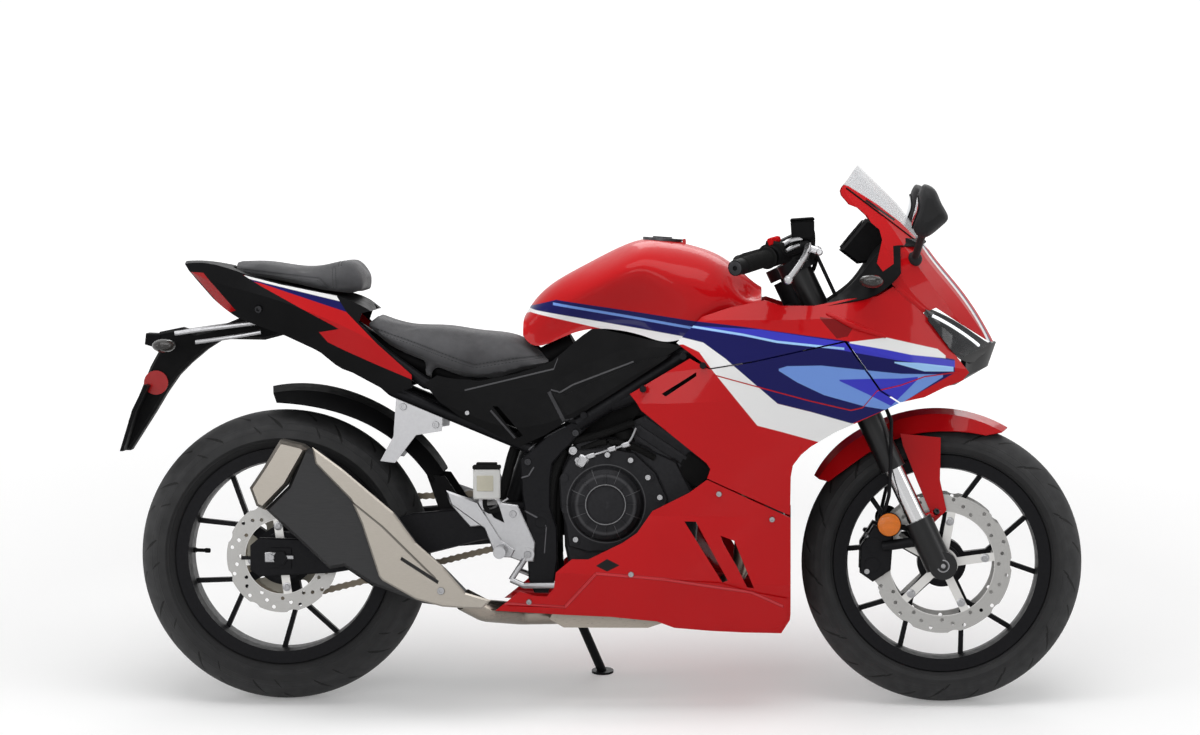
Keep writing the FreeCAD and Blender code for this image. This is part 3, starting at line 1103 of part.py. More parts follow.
@cache
def headlamp():
    chin = joined_halves(skin(CHIN_ROWS, PANEL_WALL))
    lens = skin(LAMP_ROWS, PANEL_WALL).cut(Part.makeCompound([chin, nose_cowl(), side_cowls()]))
    lens = max(lens.Solids, key=lambda solid: solid.Volume)
    chin = chin.cut(Part.makeCompound([nose_cowl(), side_cowls()]))
    return Part.makeCompound([max(chin.Solids, key=lambda solid: solid.Volume), both(lens)])


MIRROR_Y = 330.0
MIRROR_HALF_DEPTH = 75.0
MIRROR_RINGS = [(-1.0, 0.5), (-0.8, 0.8), (-0.35, 0.98), (0.1, 0.96), (0.4, 0.76), (0.55, 0.45)]
MIRROR_STEM_RADIUS = 8.0
MIRROR_FOOT_SHARES = (95.6, 67.4)
MIRROR_FOOT_Y = 132.0


@cache
def mirrors():
    head = pod(MIRROR_HEAD_SHARES, [(MIRROR_Y + MIRROR_HALF_DEPTH * place, size) for place, size in MIRROR_RINGS])
    stem = rod(at(*MIRROR_FOOT_SHARES, MIRROR_FOOT_Y), at(97.0, 73.0, MIRROR_Y - MIRROR_HALF_DEPTH / 2),
               MIRROR_STEM_RADIUS)
    foot = Part.makeSphere(MIRROR_STEM_RADIUS * 2, at(*MIRROR_FOOT_SHARES, MIRROR_FOOT_Y))
    whole = head.multiFuse([stem, foot]).cut(Part.makeCompound([nose_cowl(), windscreen()]))
    return both(max(whole.Solids, key=lambda solid: solid.Volume))


@cache
def side_cowls():
    upper = panel(FAIRING_ROWS, UPPER_COWL_SHARES)
    middle = panel(FAIRING_ROWS, MIDDLE_COWL_SHARES).cut(side_cut(MIDDLE_VENT_SHARES))
    return Part.makeCompound([both(upper), both(middle)])


@cache
def lower_cowl():
    ledge = panel(lifted(FAIRING_ROWS, LEDGE_RISE), LEDGE_SHARES, PANEL_WALL * 2)
    side = panel(FAIRING_ROWS, LOWER_COWL_SHARES).fuse(ledge)
    slots = Part.makeCompound([side_cut(LOWER_SLOT_SHARES), side_cut(LOWER_VENT_SHARES)])
    floor = plate(COWL_FLOOR_SHARES, -COWL_FLOOR_HALF, COWL_FLOOR_HALF)
    half = side.cut(slots)
    whole = half.multiFuse([mirrored(half), floor]).cut(exhaust_pipe())
    return max(whole.Solids, key=lambda solid: solid.Volume)


COWL_FLOOR_HALF = 120.0
LEDGE_RISE = 1.4
LEDGE_SHARES = [(34.6, 15.2), (43.0, 15.0), (48.0, 20.2), (60.0, 19.3), (66.5, 18.9), (71.2, 17.5), (76.6, 16.4),
                (76.6, 13.2), (75.4, 11.2), (65.0, 11.7), (59.6, 12.2), (57.0, 13.1), (43.0, 14.2)]


@cache
def inner_cowl():
    halves = joined_halves(skin(INNER_COWL_ROWS, PANEL_WALL))
    trimmed = halves.cut(Part.makeCompound([nose_cowl(), side_cowls(), windscreen()]))
    return max(trimmed.Solids, key=lambda solid: solid.Volume)


DASH_HALF_WIDTH = 85.0


@cache
def dash():
    whole = bevelled(DASH_SHARES, -DASH_HALF_WIDTH, DASH_HALF_WIDTH, CASE_BEVEL, CASE_BEVEL * 2).cut(inner_cowl())
    return max(whole.Solids, key=lambda solid: solid.Volume)


HEADER_SHARES = [(66.0, 42.0, 18), (70.6, 34.0, 18), (69.6, 20.0, 18), (65.4, 15.6, 14), (56.0, 13.6, 10)]
TAIL_PIPE_SHARES = [(43.0, 13.2, 0), (36.0, 13.4, -20), (31.0, 14.4, -56), (28.0, 16.2, -66)]
HEADER_RADIUS = 19.0
HEADER_BEND = 60.0
TAIL_PIPE_RADIUS = 24.0
TAIL_PIPE_BEND = 50.0
COLLECTOR_SHARES = [(40.5, 12.7), (42.7, 11.4), (55.5, 11.4), (58.5, 12.4), (58.0, 14.4), (55.5, 15.2), (42.0, 15.2)]
COLLECTOR_HALF_WIDTH = 70.0


@cache
def exhaust_pipe():
    collector = plate(COLLECTOR_SHARES, -COLLECTOR_HALF_WIDTH, COLLECTOR_HALF_WIDTH)
    pipes = [pipe(along_shares(HEADER_SHARES, side), HEADER_RADIUS, HEADER_BEND) for side in (1, -1)]
    tail = pipe(along_shares(TAIL_PIPE_SHARES), TAIL_PIPE_RADIUS, TAIL_PIPE_BEND)
    return collector.multiFuse(pipes + [tail]).cut(Part.makeCompound([engine(), muffler()]))


MUFFLER_INNER = 125.0
MUFFLER_OUTER = 205.0
MUFFLER_BEVEL = 7.0
MUFFLER_SHOULDER = 14.0
OUTLET_SHARES = (-1.2, 36.9)
OUTLET_RADIUS = 21.0
OUTLET_DEPTH = 26.0
OUTLET_AIM = (-0.84, 0.54)
GUARD_LIFT = 8.0
GUARD_BEVEL = 3.5


@cache
def muffler():
    return bevelled(MUFFLER_SHARES, -MUFFLER_INNER, -MUFFLER_OUTER, MUFFLER_BEVEL, MUFFLER_SHOULDER)


@cache
def muffler_guard():
    """Slotted heat guard on the outer face and the end cap with its outlet."""
    outer = -MUFFLER_OUTER - GUARD_LIFT
    guard = bevelled(GUARD_SHARES, -MUFFLER_OUTER, outer, GUARD_BEVEL, GUARD_BEVEL)
    guard = guard.cut(plate(GUARD_SLOT_SHARES, -SIDE_REACH, 0))
    end = bevelled(MUFFLER_END_SHARES, -MUFFLER_INNER, outer, MUFFLER_BEVEL, MUFFLER_SHOULDER)
    aim = V(OUTLET_AIM[0], 0, OUTLET_AIM[1]).normalize()
    mouth = at(*OUTLET_SHARES, -(MUFFLER_INNER + MUFFLER_OUTER) / 2)
    outlet = rod(mouth - aim * OUTLET_DEPTH, mouth + aim * OUTLET_DEPTH, OUTLET_RADIUS)
    return Part.makeCompound([guard, end.cut(muffler()).cut(outlet)])


ARM_INNER = 90.0
ARM_OUTER = 112.0
ARM_END_INNER = 107.0
ARM_END_OUTER = 122.0
AXLE_NUT_RADIUS = 16.0
AXLE_NUT_THICKNESS = 11.0
ADJUSTER_SHARES = [(-1.7, 20.6), (-1.7, 23.7), (1.7, 23.7), (1.7, 20.6)]
ADJUSTER_BOLT_SHARES = [(-6.0, 22.1), (-1.5, 22.1)]
ADJUSTER_Y = 114.5
ADJUSTER_BOLT_RADIUS = 4.0
ARM_CROSS_SHARES = [(24.0, 23.6), (24.0, 29.4), (38.0, 30.6), (41.0, 29.3), (41.0, 26.0), (38.5, 24.8)]
ARM_FRONT_SHARES = [
    (9.6, 20.2), (9.6, 25.9), (12.0, 26.4), (20.0, 28.9), (30.0, 29.8), (38.0, 29.6), (41.0, 28.9), (41.0, 26.7),
    (38.5, 26.0), (30.0, 24.7), (19.0, 21.9),
]
ARM_END_SHARES = [
    (-4.6, 20.3), (-4.6, 24.0), (-3.2, 25.2), (4.0, 25.0), (12.0, 26.4), (14.0, 27.0), (14.0, 20.9), (8.0, 19.9),
    (-3.2, 19.3),
]


@cache
def swingarm():
    """Two arms joined ahead of the wheel, with end plates outside the sprocket that hold the axle."""
    parts = []
    for side in (1, -1):
        low, high = sorted((side * ARM_INNER, side * ARM_OUTER))
        parts.append(bevelled(ARM_FRONT_SHARES, low, high, PLATE_BEVEL, PLATE_BEVEL * 2))
        low, high = sorted((side * ARM_END_INNER, side * ARM_END_OUTER))
        parts.append(bevelled(ARM_END_SHARES, low, high, PLATE_BEVEL, PLATE_BEVEL))
        outer = V(0, side * ARM_END_OUTER, 0)
        parts.append(hexagon(REAR_AXLE + outer, AXLE_NUT_RADIUS, side * AXLE_NUT_THICKNESS))
        block = bevelled(ADJUSTER_SHARES, side * ARM_END_OUTER, side * (ARM_END_OUTER + PANEL_WALL), 1, 1)
        parts.append(block)
        parts.append(rod(at(*ADJUSTER_BOLT_SHARES[0], side * ADJUSTER_Y), at(*ADJUSTER_BOLT_SHARES[1], side * ADJUSTER_Y),
                         ADJUSTER_BOLT_RADIUS))
    parts.append(plate(ARM_CROSS_SHARES, -ARM_INNER, ARM_INNER))
    parts.append(disc_at(REAR_AXLE, AXLE_RADIUS, (ARM_END_OUTER + AXLE_RADIUS) * 2))
    pivot = disc_at(at(*PIVOT_SHARES), PIVOT_RADIUS, PIVOT_PLATE_OUTER * 2)
    return parts[0].multiFuse(parts[1:] + [pivot])


def pitch_radius(teeth):
    return CHAIN_PITCH / (2 * math.sin(math.pi / teeth))


def loop_wire(grow, y):
    """Closed line round both sprockets at a distance from the pitch line."""
    rear = V(REAR_AXLE.x, y, REAR_AXLE.z)
    front = at(*SPROCKET_SHARES, y)
    rear_radius = pitch_radius(REAR_TEETH) + grow
    front_radius = pitch_radius(FRONT_TEETH) + grow
    along = front - rear
    slope = math.atan2(along.z, along.x)
    lean = math.asin((rear_radius - front_radius) / along.Length)
    up = math.pi / 2 + slope - lean
    down = slope - math.pi / 2 + lean

    def rim(centre, radius, angle):
        return centre + V(math.cos(angle), 0, math.sin(angle)) * radius

    top = Part.makeLine(rim(rear, rear_radius, up), rim(front, front_radius, up))
    nose = Part.Arc(rim(front, front_radius, up), rim(front, front_radius, slope),
                    rim(front, front_radius, down)).toShape()
    bottom = Part.makeLine(rim(front, front_radius, down), rim(rear, rear_radius, down))
    back = Part.Arc(rim(rear, rear_radius, down), rim(rear, rear_radius, slope + math.pi),
                    rim(rear, rear_radius, up)).toShape()
    return Part.Wire([top, nose, bottom, back])


def chain_band(inner_y):
    """One row of link plates round the loop, high at each pin and waisted between."""
    loop = loop_wire(0, inner_y)
    links = round(loop.Length / CHAIN_PITCH)
    middle = loop.discretize(links * 2 + 1)[:-1]
    outer = []
    inner = []
    for k, place in enumerate(middle):
        along = middle[(k + 1) % len(middle)] - middle[k - 1]
        out = V(-along.z, 0, along.x).normalize() * (PLATE_WAIST if k % 2 else PLATE_HALF_HEIGHT)
        outer.append(place + out)
        inner.append(place - out)
    faces = [Part.Face(Part.makePolygon(ring + ring[:1])) for ring in (outer, inner)]
    faces.sort(key=lambda face: face.Area)
    return faces[1].cut(faces[0]).extrude(V(0, PLATE_THICKNESS, 0))


@cache
def chain():
    """Two rows of link plates with the sprockets between them."""
    half = CHAIN_SLOT / 2
    bands = [chain_band(CHAIN_OFFSET + half), chain_band(CHAIN_OFFSET - half - PLATE_THICKNESS)]
    return Part.makeCompound(bands)


HUGGER_LEG_SHARES = [(22.0, 34.6), (24.8, 34.4), (28.0, 29.6), (24.0, 29.0)]
HUGGER_LEG_WALL = 5.0
HUGGER_LEG_OUTER = 86.0


@cache
def hugger():
    """Inner rear fender with a leg down to each arm."""
    shell = joined_halves(skin(HUGGER_ROWS, PANEL_WALL))
    leg = plate(HUGGER_LEG_SHARES, HUGGER_LEG_OUTER - HUGGER_LEG_WALL, HUGGER_LEG_OUTER)
    return shell.multiFuse([leg, mirrored(leg)]).cut(swingarm())


STEP_PLATE_INNER = PIVOT_PLATE_OUTER + SEAT_GAP
STEP_PLATE_OUTER = STEP_PLATE_INNER + 8.0
PEG_LENGTH = 100.0
PEG_RADIUS = 13.0
PEG_SHARES = (33.6, 23.6)
PEG_GROOVES = 8
PEG_GROOVE_PITCH = 9.0
STEP_BEVEL = 2.0
STEP_HOLE_SHARES = [(32.0, 32.6), (33.2, 30.2), (34.0, 27.6), (32.4, 28.4), (30.6, 31.0)]
STEP_BOSS_SHARES = [(37.5, 22.9), (35.3, 29.0)]
STEP_BOSS_RADIUS = 14.0
HEEL_SHARES = [(25.3, 32.4), (30.0, 30.7), (33.6, 25.0), (35.6, 23.6), (35.0, 22.4), (32.7, 22.5), (31.0, 26.8),
               (26.0, 30.4)]
PEDAL_SHARES = [(35.0, 19.0, 54), (37.0, 18.2, 57), (42.0, 18.4, 66)]
PEDAL_RADIUS = 6.0


@cache
def rider_steps():
    """Foot peg brackets on both sides, with the brake pedal on the right and the shift lever on the left."""
    bracket = bevelled(STEP_PLATE_SHARES, STEP_PLATE_INNER, STEP_PLATE_OUTER, STEP_BEVEL, STEP_BEVEL)
    bracket = bracket.cut(plate(STEP_HOLE_SHARES, 0, SIDE_REACH))
    heel = bevelled(HEEL_SHARES, STEP_PLATE_OUTER, STEP_PLATE_OUTER + STEP_BEVEL * 3, STEP_BEVEL, STEP_BEVEL)
    bosses = [Part.makeCylinder(STEP_BOSS_RADIUS, PLATE_BEVEL, at(x, z, STEP_PLATE_OUTER), V(0, 1, 0))
              for x, z in STEP_BOSS_SHARES]
    arm = rod(at(PEDAL_SHARES[0][0], PEDAL_SHARES[0][1], STEP_PLATE_INNER + PEDAL_RADIUS),
              at(37.5, 22.9, STEP_PLATE_INNER + PEDAL_RADIUS), PEDAL_RADIUS)
    peg = Part.makeCylinder(PEG_RADIUS, PEG_LENGTH, at(*PEG_SHARES, STEP_PLATE_INNER), V(0, 1, 0))
    pedal = pipe(along_shares(PEDAL_SHARES), PEDAL_RADIUS, STALK_RADIUS)
    grooves = [disc_at(at(*PEG_SHARES, STEP_PLATE_INNER + PEG_LENGTH - k * PEG_GROOVE_PITCH),
                       PEG_RADIUS + CUT_OVERRUN, PEG_GROOVE_PITCH / 2).cut(
                   disc_at(at(*PEG_SHARES, STEP_PLATE_INNER), PEG_RADIUS - 1, PEG_LENGTH * 2))
               for k in range(1, PEG_GROOVES)]
    peg = peg.cut(Part.makeCompound(grooves))
    return both(bracket.multiFuse([peg, pedal, arm, heel] + bosses))


PILLION_PEG_SHARES = [(16.4, 37.6, 60), (11.6, 43.4, 62)]


@cache
def pillion_steps():
    rail = along_shares(SUBFRAME_STAY_SHARES)
    inner = width(SUBFRAME_STAY_SHARES[1][2])
    bracket = plate(PILLION_STEP_SHARES, inner, inner + SUBFRAME_RADIUS + STALK_RADIUS)
    bracket = bracket.cut(pipe(rail, SUBFRAME_RADIUS, SUBFRAME_BEND))
    peg = rod(*along_shares(PILLION_PEG_SHARES), PEG_RADIUS * 0.75)
    return both(max(bracket.fuse(peg).Solids, key=lambda solid: solid.Volume))


SHOCK_SHARES = [(35.0, 30.0), (39.6, 43.2)]
SHOCK_RADIUS = 26.0


@cache
def rear_shock():
    return rod(at(*SHOCK_SHARES[0]), at(*SHOCK_SHARES[1]), SHOCK_RADIUS).cut(swingarm())


CALIPER_SHARES = [(3.4, 26.2), (9.4, 28.4), (10.6, 24.6), (7.6, 21.6)]
RESERVOIR_SHARES = [(29.5, 31.6), (33.3, 31.6), (33.3, 36.1), (29.5, 36.1)]


@cache
def rear_brake():
    caliper = plate(CALIPER_SHARES, -ARM_END_INNER, -REAR_DISC_OFFSET + STALK_RADIUS)
    caliper = caliper.cut(disc_at(REAR_AXLE - V(0, REAR_DISC_OFFSET, 0), REAR_DISC_RADIUS + STEM_GAP,
                                  DISC_THICKNESS * 3)).cut(swingarm())
    reservoir = plate(RESERVOIR_SHARES, -STEP_PLATE_OUTER - SIGNAL_HALF_LENGTH, -STEP_PLATE_OUTER)
    return Part.makeCompound([caliper, reservoir])


@cache
def side_stand():
    """Leg with a forked top on its pivot bolt and a flat foot that lies on the leaning bike's floor."""
    foot_end = STAND_PIVOT + STAND_DOWN * STAND_LENGTH
    web_end = STAND_PIVOT + STAND_DOWN * STAND_WEB_REACH
    parts = []
    for side in (1, -1):
        inner = STAND_PIVOT + STAND_AXIS * side * (STAND_LUG_HALF + STAND_FORK_GAP)
        parts.append(Part.makeCylinder(STAND_EAR_RADIUS, STAND_EAR, inner, STAND_AXIS * side))
        outer = inner + STAND_AXIS * side * (STAND_EAR / 2)
        parts.append(rod(outer, web_end + STAND_AXIS * side * (STAND_LUG_HALF + STAND_EAR / 2), STAND_EAR / 2))
    reach = STAND_LUG_HALF + STAND_FORK_GAP + STAND_EAR
    parts.append(rod(web_end - STAND_AXIS * reach, web_end + STAND_AXIS * reach, STAND_RADIUS / 2))
    parts.append(rod(STAND_PIVOT - STAND_AXIS * reach, STAND_PIVOT + STAND_AXIS * reach, STAND_BOLT_RADIUS))
    parts.append(rod(web_end, foot_end, STAND_RADIUS))
    down = V(0, -LEAN_SIN, LEAN_COS)
    parts.append(Part.makeCylinder(STAND_FOOT_RADIUS, STAND_FOOT_THICKNESS, foot_end, down))
    floor = Part.makeCylinder(STAND_LENGTH, STAND_LENGTH, foot_end, down * -1)
    return parts[0].multiFuse(parts[1:]).cut(floor)


FORK_TOP_UP = 1086.0
OUTER_TUBE_UP = 545.0
FORK_FOOT_UP = 330.0
CASTING_RADIUS = 30.0
CASTING_TOP_UP = 425.0
LOWER_CLAMP_UP = 812.0
UPPER_CLAMP_UP = 1010.0
CLAMP_HEIGHT = 38.0
UPPER_CLAMP_HEIGHT = 26.0
CLAMP_RADIUS = 40.0


@cache
def fork_legs():
    """Outer tubes above, chromed inner tubes below, castings that clamp the hollow axle."""
    leg = across_fork(Part.makeCylinder(OUTER_TUBE_RADIUS, FORK_TOP_UP - OUTER_TUBE_UP), OUTER_TUBE_UP,
                      FORK_OFFSET, FORK_Y)
    inner = across_fork(Part.makeCylinder(INNER_TUBE_RADIUS, OUTER_TUBE_UP - FORK_FOOT_UP + PANEL_WALL),
                        FORK_FOOT_UP, FORK_OFFSET, FORK_Y)
    casting = across_fork(Part.makeCylinder(CASTING_RADIUS, CASTING_TOP_UP - AXLE_UP), AXLE_UP, FORK_OFFSET,
                          FORK_Y)
    foot = disc_at(FRONT_AXLE + V(0, FORK_Y, 0), CASTING_RADIUS, CASTING_RADIUS * 1.6)
    side = leg.multiFuse([inner, casting, foot])
    axle = disc_at(FRONT_AXLE, AXLE_RADIUS, FORK_SPREAD + CASTING_RADIUS * 2)
    bore = disc_at(FRONT_AXLE, AXLE_RADIUS / 2, FORK_SPREAD * 2)
    return side.multiFuse([mirrored(side), axle]).cut(bore)


def bridge(up, height):
    """Clamp bridge across both fork legs and the stem."""
    bodies = [Part.makeCylinder(CLAMP_RADIUS, height, V(FORK_OFFSET, y, 0)) for y in (FORK_Y, -FORK_Y)]
    bodies.append(Part.makeBox(FORK_OFFSET * 2, FORK_SPREAD, height, V(0, -FORK_Y, 0)))
    bodies.append(Part.makeCylinder(CLAMP_RADIUS - PANEL_WALL, height, V(0, 0, 0)))
    whole = bodies[0].multiFuse(bodies[1:])
    for y in (FORK_Y, -FORK_Y):
        whole = whole.cut(Part.makeCylinder(OUTER_TUBE_RADIUS, height, V(FORK_OFFSET, y, 0)))
    return across_fork(whole, up)


@cache
def triple_clamps():
    stem = across_fork(Part.makeCylinder(STEM_RADIUS, UPPER_CLAMP_UP - LOWER_CLAMP_UP), LOWER_CLAMP_UP)
    cups = [across_fork(Part.makeCylinder(STEM_RADIUS + STEM_GAP - BEARING_CLEARANCE, BEARING_HEIGHT), up)
            for up in (HEAD_LOW_UP, HEAD_HIGH_UP - BEARING_HEIGHT)]
    return bridge(LOWER_CLAMP_UP, CLAMP_HEIGHT).multiFuse([bridge(UPPER_CLAMP_UP, UPPER_CLAMP_HEIGHT), stem] + cups)


BAR_UP = 1068.0
BAR_CLAMP_HEIGHT = 26.0
BAR_RADIUS = 11.0
GRIP_RADIUS = 16.5
GRIP_START_SHARE = 0.46
BAR_END_SHARES = (68.9, 66.3, 151.6)
SWITCH_RADIUS = 22.0
LEVER_RADIUS = 6.0
LEVER_SHARES = [(79.6, 69.6, 78), (79.4, 68.2, 100), (76.7, 64.6, 148)]
CUP_SHARES = (79.0, 70.6, 72)


def bar_line():
    """Left bar from its clamp to its end."""
    start = steer(BAR_UP - BAR_CLAMP_HEIGHT / 2, FORK_OFFSET + CLAMP_RADIUS / 2, FORK_Y + CLAMP_RADIUS / 2)
    return start, along_shares([BAR_END_SHARES])[0]


@cache
def handlebars():
    """Clip-on bars clamped to the fork tubes, with grips, switches, levers and the brake fluid cup."""
    ring = across_fork(Part.makeCylinder(CLAMP_RADIUS, BAR_CLAMP_HEIGHT), BAR_UP - BAR_CLAMP_HEIGHT, FORK_OFFSET,
                       FORK_Y)
    hole = across_fork(Part.makeCylinder(OUTER_TUBE_RADIUS, BAR_CLAMP_HEIGHT * 2), BAR_UP - BAR_CLAMP_HEIGHT * 1.5,
                       FORK_OFFSET, FORK_Y)
    start, end = bar_line()
    grip_start = start + (end - start) * GRIP_START_SHARE
    switch_start = start + (end - start) * (GRIP_START_SHARE / 2)
    bar = rod(start, end, BAR_RADIUS)
    grip = rod(grip_start, end, GRIP_RADIUS)
    switch = rod(switch_start, grip_start, SWITCH_RADIUS)
    lever = pipe(along_shares(LEVER_SHARES), LEVER_RADIUS, LEVER_RADIUS * 3)
    perch = rod(switch_start + (grip_start - switch_start) * 0.7, along_shares(LEVER_SHARES)[0], SWITCH_RADIUS / 2)
    side = ring.multiFuse([bar, grip, switch, lever, perch]).cut(hole)
    cup = Part.makeCylinder(SWITCH_RADIUS, SWITCH_RADIUS * 1.6, at(CUP_SHARES[0], CUP_SHARES[1], -width(CUP_SHARES[2])))
    post = rod(cup.CenterOfMass, mirrored(perch).CenterOfMass, SWITCH_RADIUS / 3)
    return Part.makeCompound([side, mirrored(side).multiFuse([cup, post])])


FENDER_ROWS = [
    [(109.9, 41.5, 0), (105, 43.6, 0), (98, 44.4, 0), (91, 42.8, 0), (85, 39.4, 0), (80.8, 34.2, 0)],
    [(109.0, 41.0, 14), (104.6, 42.9, 18), (98, 43.7, 20), (91.4, 42.1, 20), (85.6, 38.8, 20), (81.4, 33.9, 18)],
    [(106.5, 40.6, 20), (103, 41.2, 26), (98, 41.2, 27.6), (92.6, 40.0, 27.6), (87.2, 36.9, 27), (82.8, 33.6, 22)],
]
FENDER_BOLT_SHARES = (99.5, 29.2)
FENDER_SEAT_SHARES = (96.0, 28.0)
FENDER_LEG_SHARES = [(99.7, 40.4), (99.6, 34.0), (100.6, 29.4), (98.8, 27.6), (96.5, 33.0), (94.0, 39.2), (93.6, 41.0)]


@cache
def front_fender():
    shell = joined_halves(skin(FENDER_ROWS, PANEL_WALL))
    outer = FORK_Y - CASTING_RADIUS + PANEL_WALL
    leg = plate(FENDER_LEG_SHARES, outer - PANEL_WALL * 2, outer)
    boss = rod(at(*FENDER_BOLT_SHARES, outer - PANEL_WALL), at(*FENDER_SEAT_SHARES, FORK_Y), STAY_RADIUS)
    side = leg.fuse(boss.cut(fork_legs()))
    side = max(side.Solids, key=lambda solid: solid.Volume)
    return shell.multiFuse([side, mirrored(side)])


FRONT_CALIPER_SHARES = [(92.6, 26.0), (89.6, 27.2), (87.6, 24.0), (87.5, 20.0), (89.5, 18.6), (92.2, 20.4)]


PISTON_SHARES = [(89.6, 24.2), (89.4, 21.2)]
PISTON_RADIUS = 15.0
HOSE_RADIUS = 4.0
HOSE_BEND = 24.0
HOSE_LEG_PLACES = [(800.0, 76.0, 96.0), (640.0, 70.0, 124.0), (560.0, 30.0, 146.0), (500.0, -2.0, 134.0)]
CALIPER_PORT_SHARES = (90.4, 26.3)
CALIPER_PORT_Y = 80.0
HOSE_START_SHARES = (79.9, 69.6, -78)
HOSE_BAR_PLACES = [(1078.0, 62.0, -150.0), (1045.0, 78.0, -104.0)]


@cache
def front_calipers():
    outer = FRONT_DISC_OFFSET + SIGNAL_HALF_LENGTH
    body = bevelled(FRONT_CALIPER_SHARES, FRONT_DISC_OFFSET - SIGNAL_HALF_HEIGHT, outer, PLATE_BEVEL, PLATE_BEVEL)
    pistons = [Part.makeCylinder(PISTON_RADIUS, PLATE_BEVEL, at(x, z, outer), V(0, 1, 0))
               for x, z in PISTON_SHARES]
    body = body.cut(disc_at(FRONT_AXLE + V(0, FRONT_DISC_OFFSET, 0), FRONT_DISC_RADIUS + STEM_GAP,
                            DISC_THICKNESS * 3))
    arm = rod(at(91.0, 24.0, FORK_Y - SIGNAL_HALF_HEIGHT), at(97.0, 25.0, FORK_Y), BAR_RADIUS)
    side = body.multiFuse([arm] + pistons).cut(fork_legs())
    down = pipe([steer(*place) for place in HOSE_LEG_PLACES] + [at(*CALIPER_PORT_SHARES, CALIPER_PORT_Y)], HOSE_RADIUS,
                HOSE_BEND)
    left = side.fuse(down)
    start = along_shares([HOSE_START_SHARES])[0]
    over = pipe([start] + [steer(*place) for place in HOSE_BAR_PLACES] + [mirrored_point(steer(*HOSE_LEG_PLACES[0]))],
                HOSE_RADIUS, HOSE_BEND / 2)
    across = rod(steer(*HOSE_LEG_PLACES[0]), mirrored_point(steer(*HOSE_LEG_PLACES[0])), HOSE_RADIUS)
    return left.multiFuse([mirrored(left), across, over.cut(handlebars())])


def mirrored_point(point):
    return V(point.x, -point.y, point.z)


@cache
def front_rim():
    return cast_wheel(FRONT_RIM_WIDTH, FRONT_HUB_RADIUS, FRONT_HUB_WIDTH, FRONT_SPOKE_TURN, FRONT_AXLE)


@cache
def front_tyre():
    return tyre(FRONT_TYRE_RADIUS, FRONT_TYRE_WIDTH, FRONT_CROWN_RADIUS, FRONT_RIM_WIDTH, FRONT_AXLE)


@cache
def front_discs():
    centre = FRONT_AXLE + V(0, FRONT_DISC_OFFSET, 0)
    return both(wave_disc(centre, FRONT_DISC_RADIUS, FRONT_DISC_INNER, 1, 5, FRONT_HUB_RADIUS / 2,
                          FRONT_CARRIER_RADIUS))


@cache
def rear_rim():
    casting = cast_wheel(REAR_RIM_WIDTH, REAR_HUB_RADIUS, REAR_HUB_WIDTH, REAR_SPOKE_TURN, REAR_AXLE)
    face = REAR_AXLE + V(0, REAR_HUB_WIDTH / 2, 0)
    carrier_width = CHAIN_OFFSET - SPROCKET_THICKNESS / 2 - REAR_HUB_WIDTH / 2
    carrier = Part.makeCylinder(SPROCKET_SEAT_RADIUS, carrier_width, face, V(0, 1, 0))
    bore = Part.makeCylinder(AXLE_RADIUS + AXLE_CLEARANCE, carrier_width, face, V(0, 1, 0))
    return casting.fuse(carrier.cut(bore))


@cache
def rear_tyre():
    return tyre(REAR_TYRE_RADIUS, REAR_TYRE_WIDTH, REAR_CROWN_RADIUS, REAR_RIM_WIDTH, REAR_AXLE)


@cache
def rear_disc():
    centre = REAR_AXLE - V(0, REAR_DISC_OFFSET, 0)
    return wave_disc(centre, REAR_DISC_RADIUS, REAR_DISC_INNER, -1, 4, REAR_HUB_RADIUS / 2, REAR_CARRIER_RADIUS)


TOOTH_ROOT_DEPTH = 5.0
TOOTH_TIP_RISE = 3.6
TOOTH_TURNS = [(-0.3, 0), (-0.09, 1), (0.09, 1), (0.3, 0)]
SPROCKET_WINDOWS = 5
WINDOW_RADIUS = 13.0


@cache
def rear_sprocket():
    """Toothed ring with round windows, bolted on the wheel's carrier."""
    centre = REAR_AXLE + V(0, CHAIN_OFFSET - SPROCKET_THICKNESS / 2, 0)
    pitch = pitch_radius(REAR_TEETH)
    corners = []
    for k in range(REAR_TEETH):
        for turn, tip in TOOTH_TURNS:
            a = (k + turn) * math.tau / REAR_TEETH
            radius = pitch + TOOTH_TIP_RISE if tip else pitch - TOOTH_ROOT_DEPTH
            corners.append(centre + V(math.cos(a), 0, math.sin(a)) * radius)
    blank = Part.Face(Part.makePolygon(corners + corners[:1])).extrude(V(0, SPROCKET_THICKNESS, 0))
    centre = REAR_AXLE + V(0, CHAIN_OFFSET, 0)
    holes = [disc_at(centre, SPROCKET_BORE_RADIUS, SPROCKET_THICKNESS + CUT_OVERRUN)]
    for k in range(SPROCKET_WINDOWS):
        a = k * math.tau / SPROCKET_WINDOWS
        place = centre + V(math.cos(a), 0, math.sin(a)) * (pitch + SPROCKET_SEAT_RADIUS) / 2
        holes.append(disc_at(place, WINDOW_RADIUS, SPROCKET_THICKNESS + CUT_OVERRUN))
    return blank.cut(Part.makeCompound(holes))


PIECES = [
    main_frame, engine, engine_covers, radiator, fuel_tank, tank_lid, rider_seat, pillion_seat, tail_cowl,
    tail_panels, tail_lenses, rear_fender, turn_signals, side_covers, nose_cowl, windscreen, headlamp, mirrors,
    side_cowls, lower_cowl, inner_cowl, dash, exhaust_pipe, muffler, muffler_guard, swingarm, chain, hugger,
    rider_steps, pillion_steps, rear_shock, rear_brake, side_stand, fork_legs, triple_clamps, handlebars,
    front_fender, front_calipers, front_rim, front_tyre, front_discs, rear_rim, rear_tyre, rear_disc,
    rear_sprocket,
]


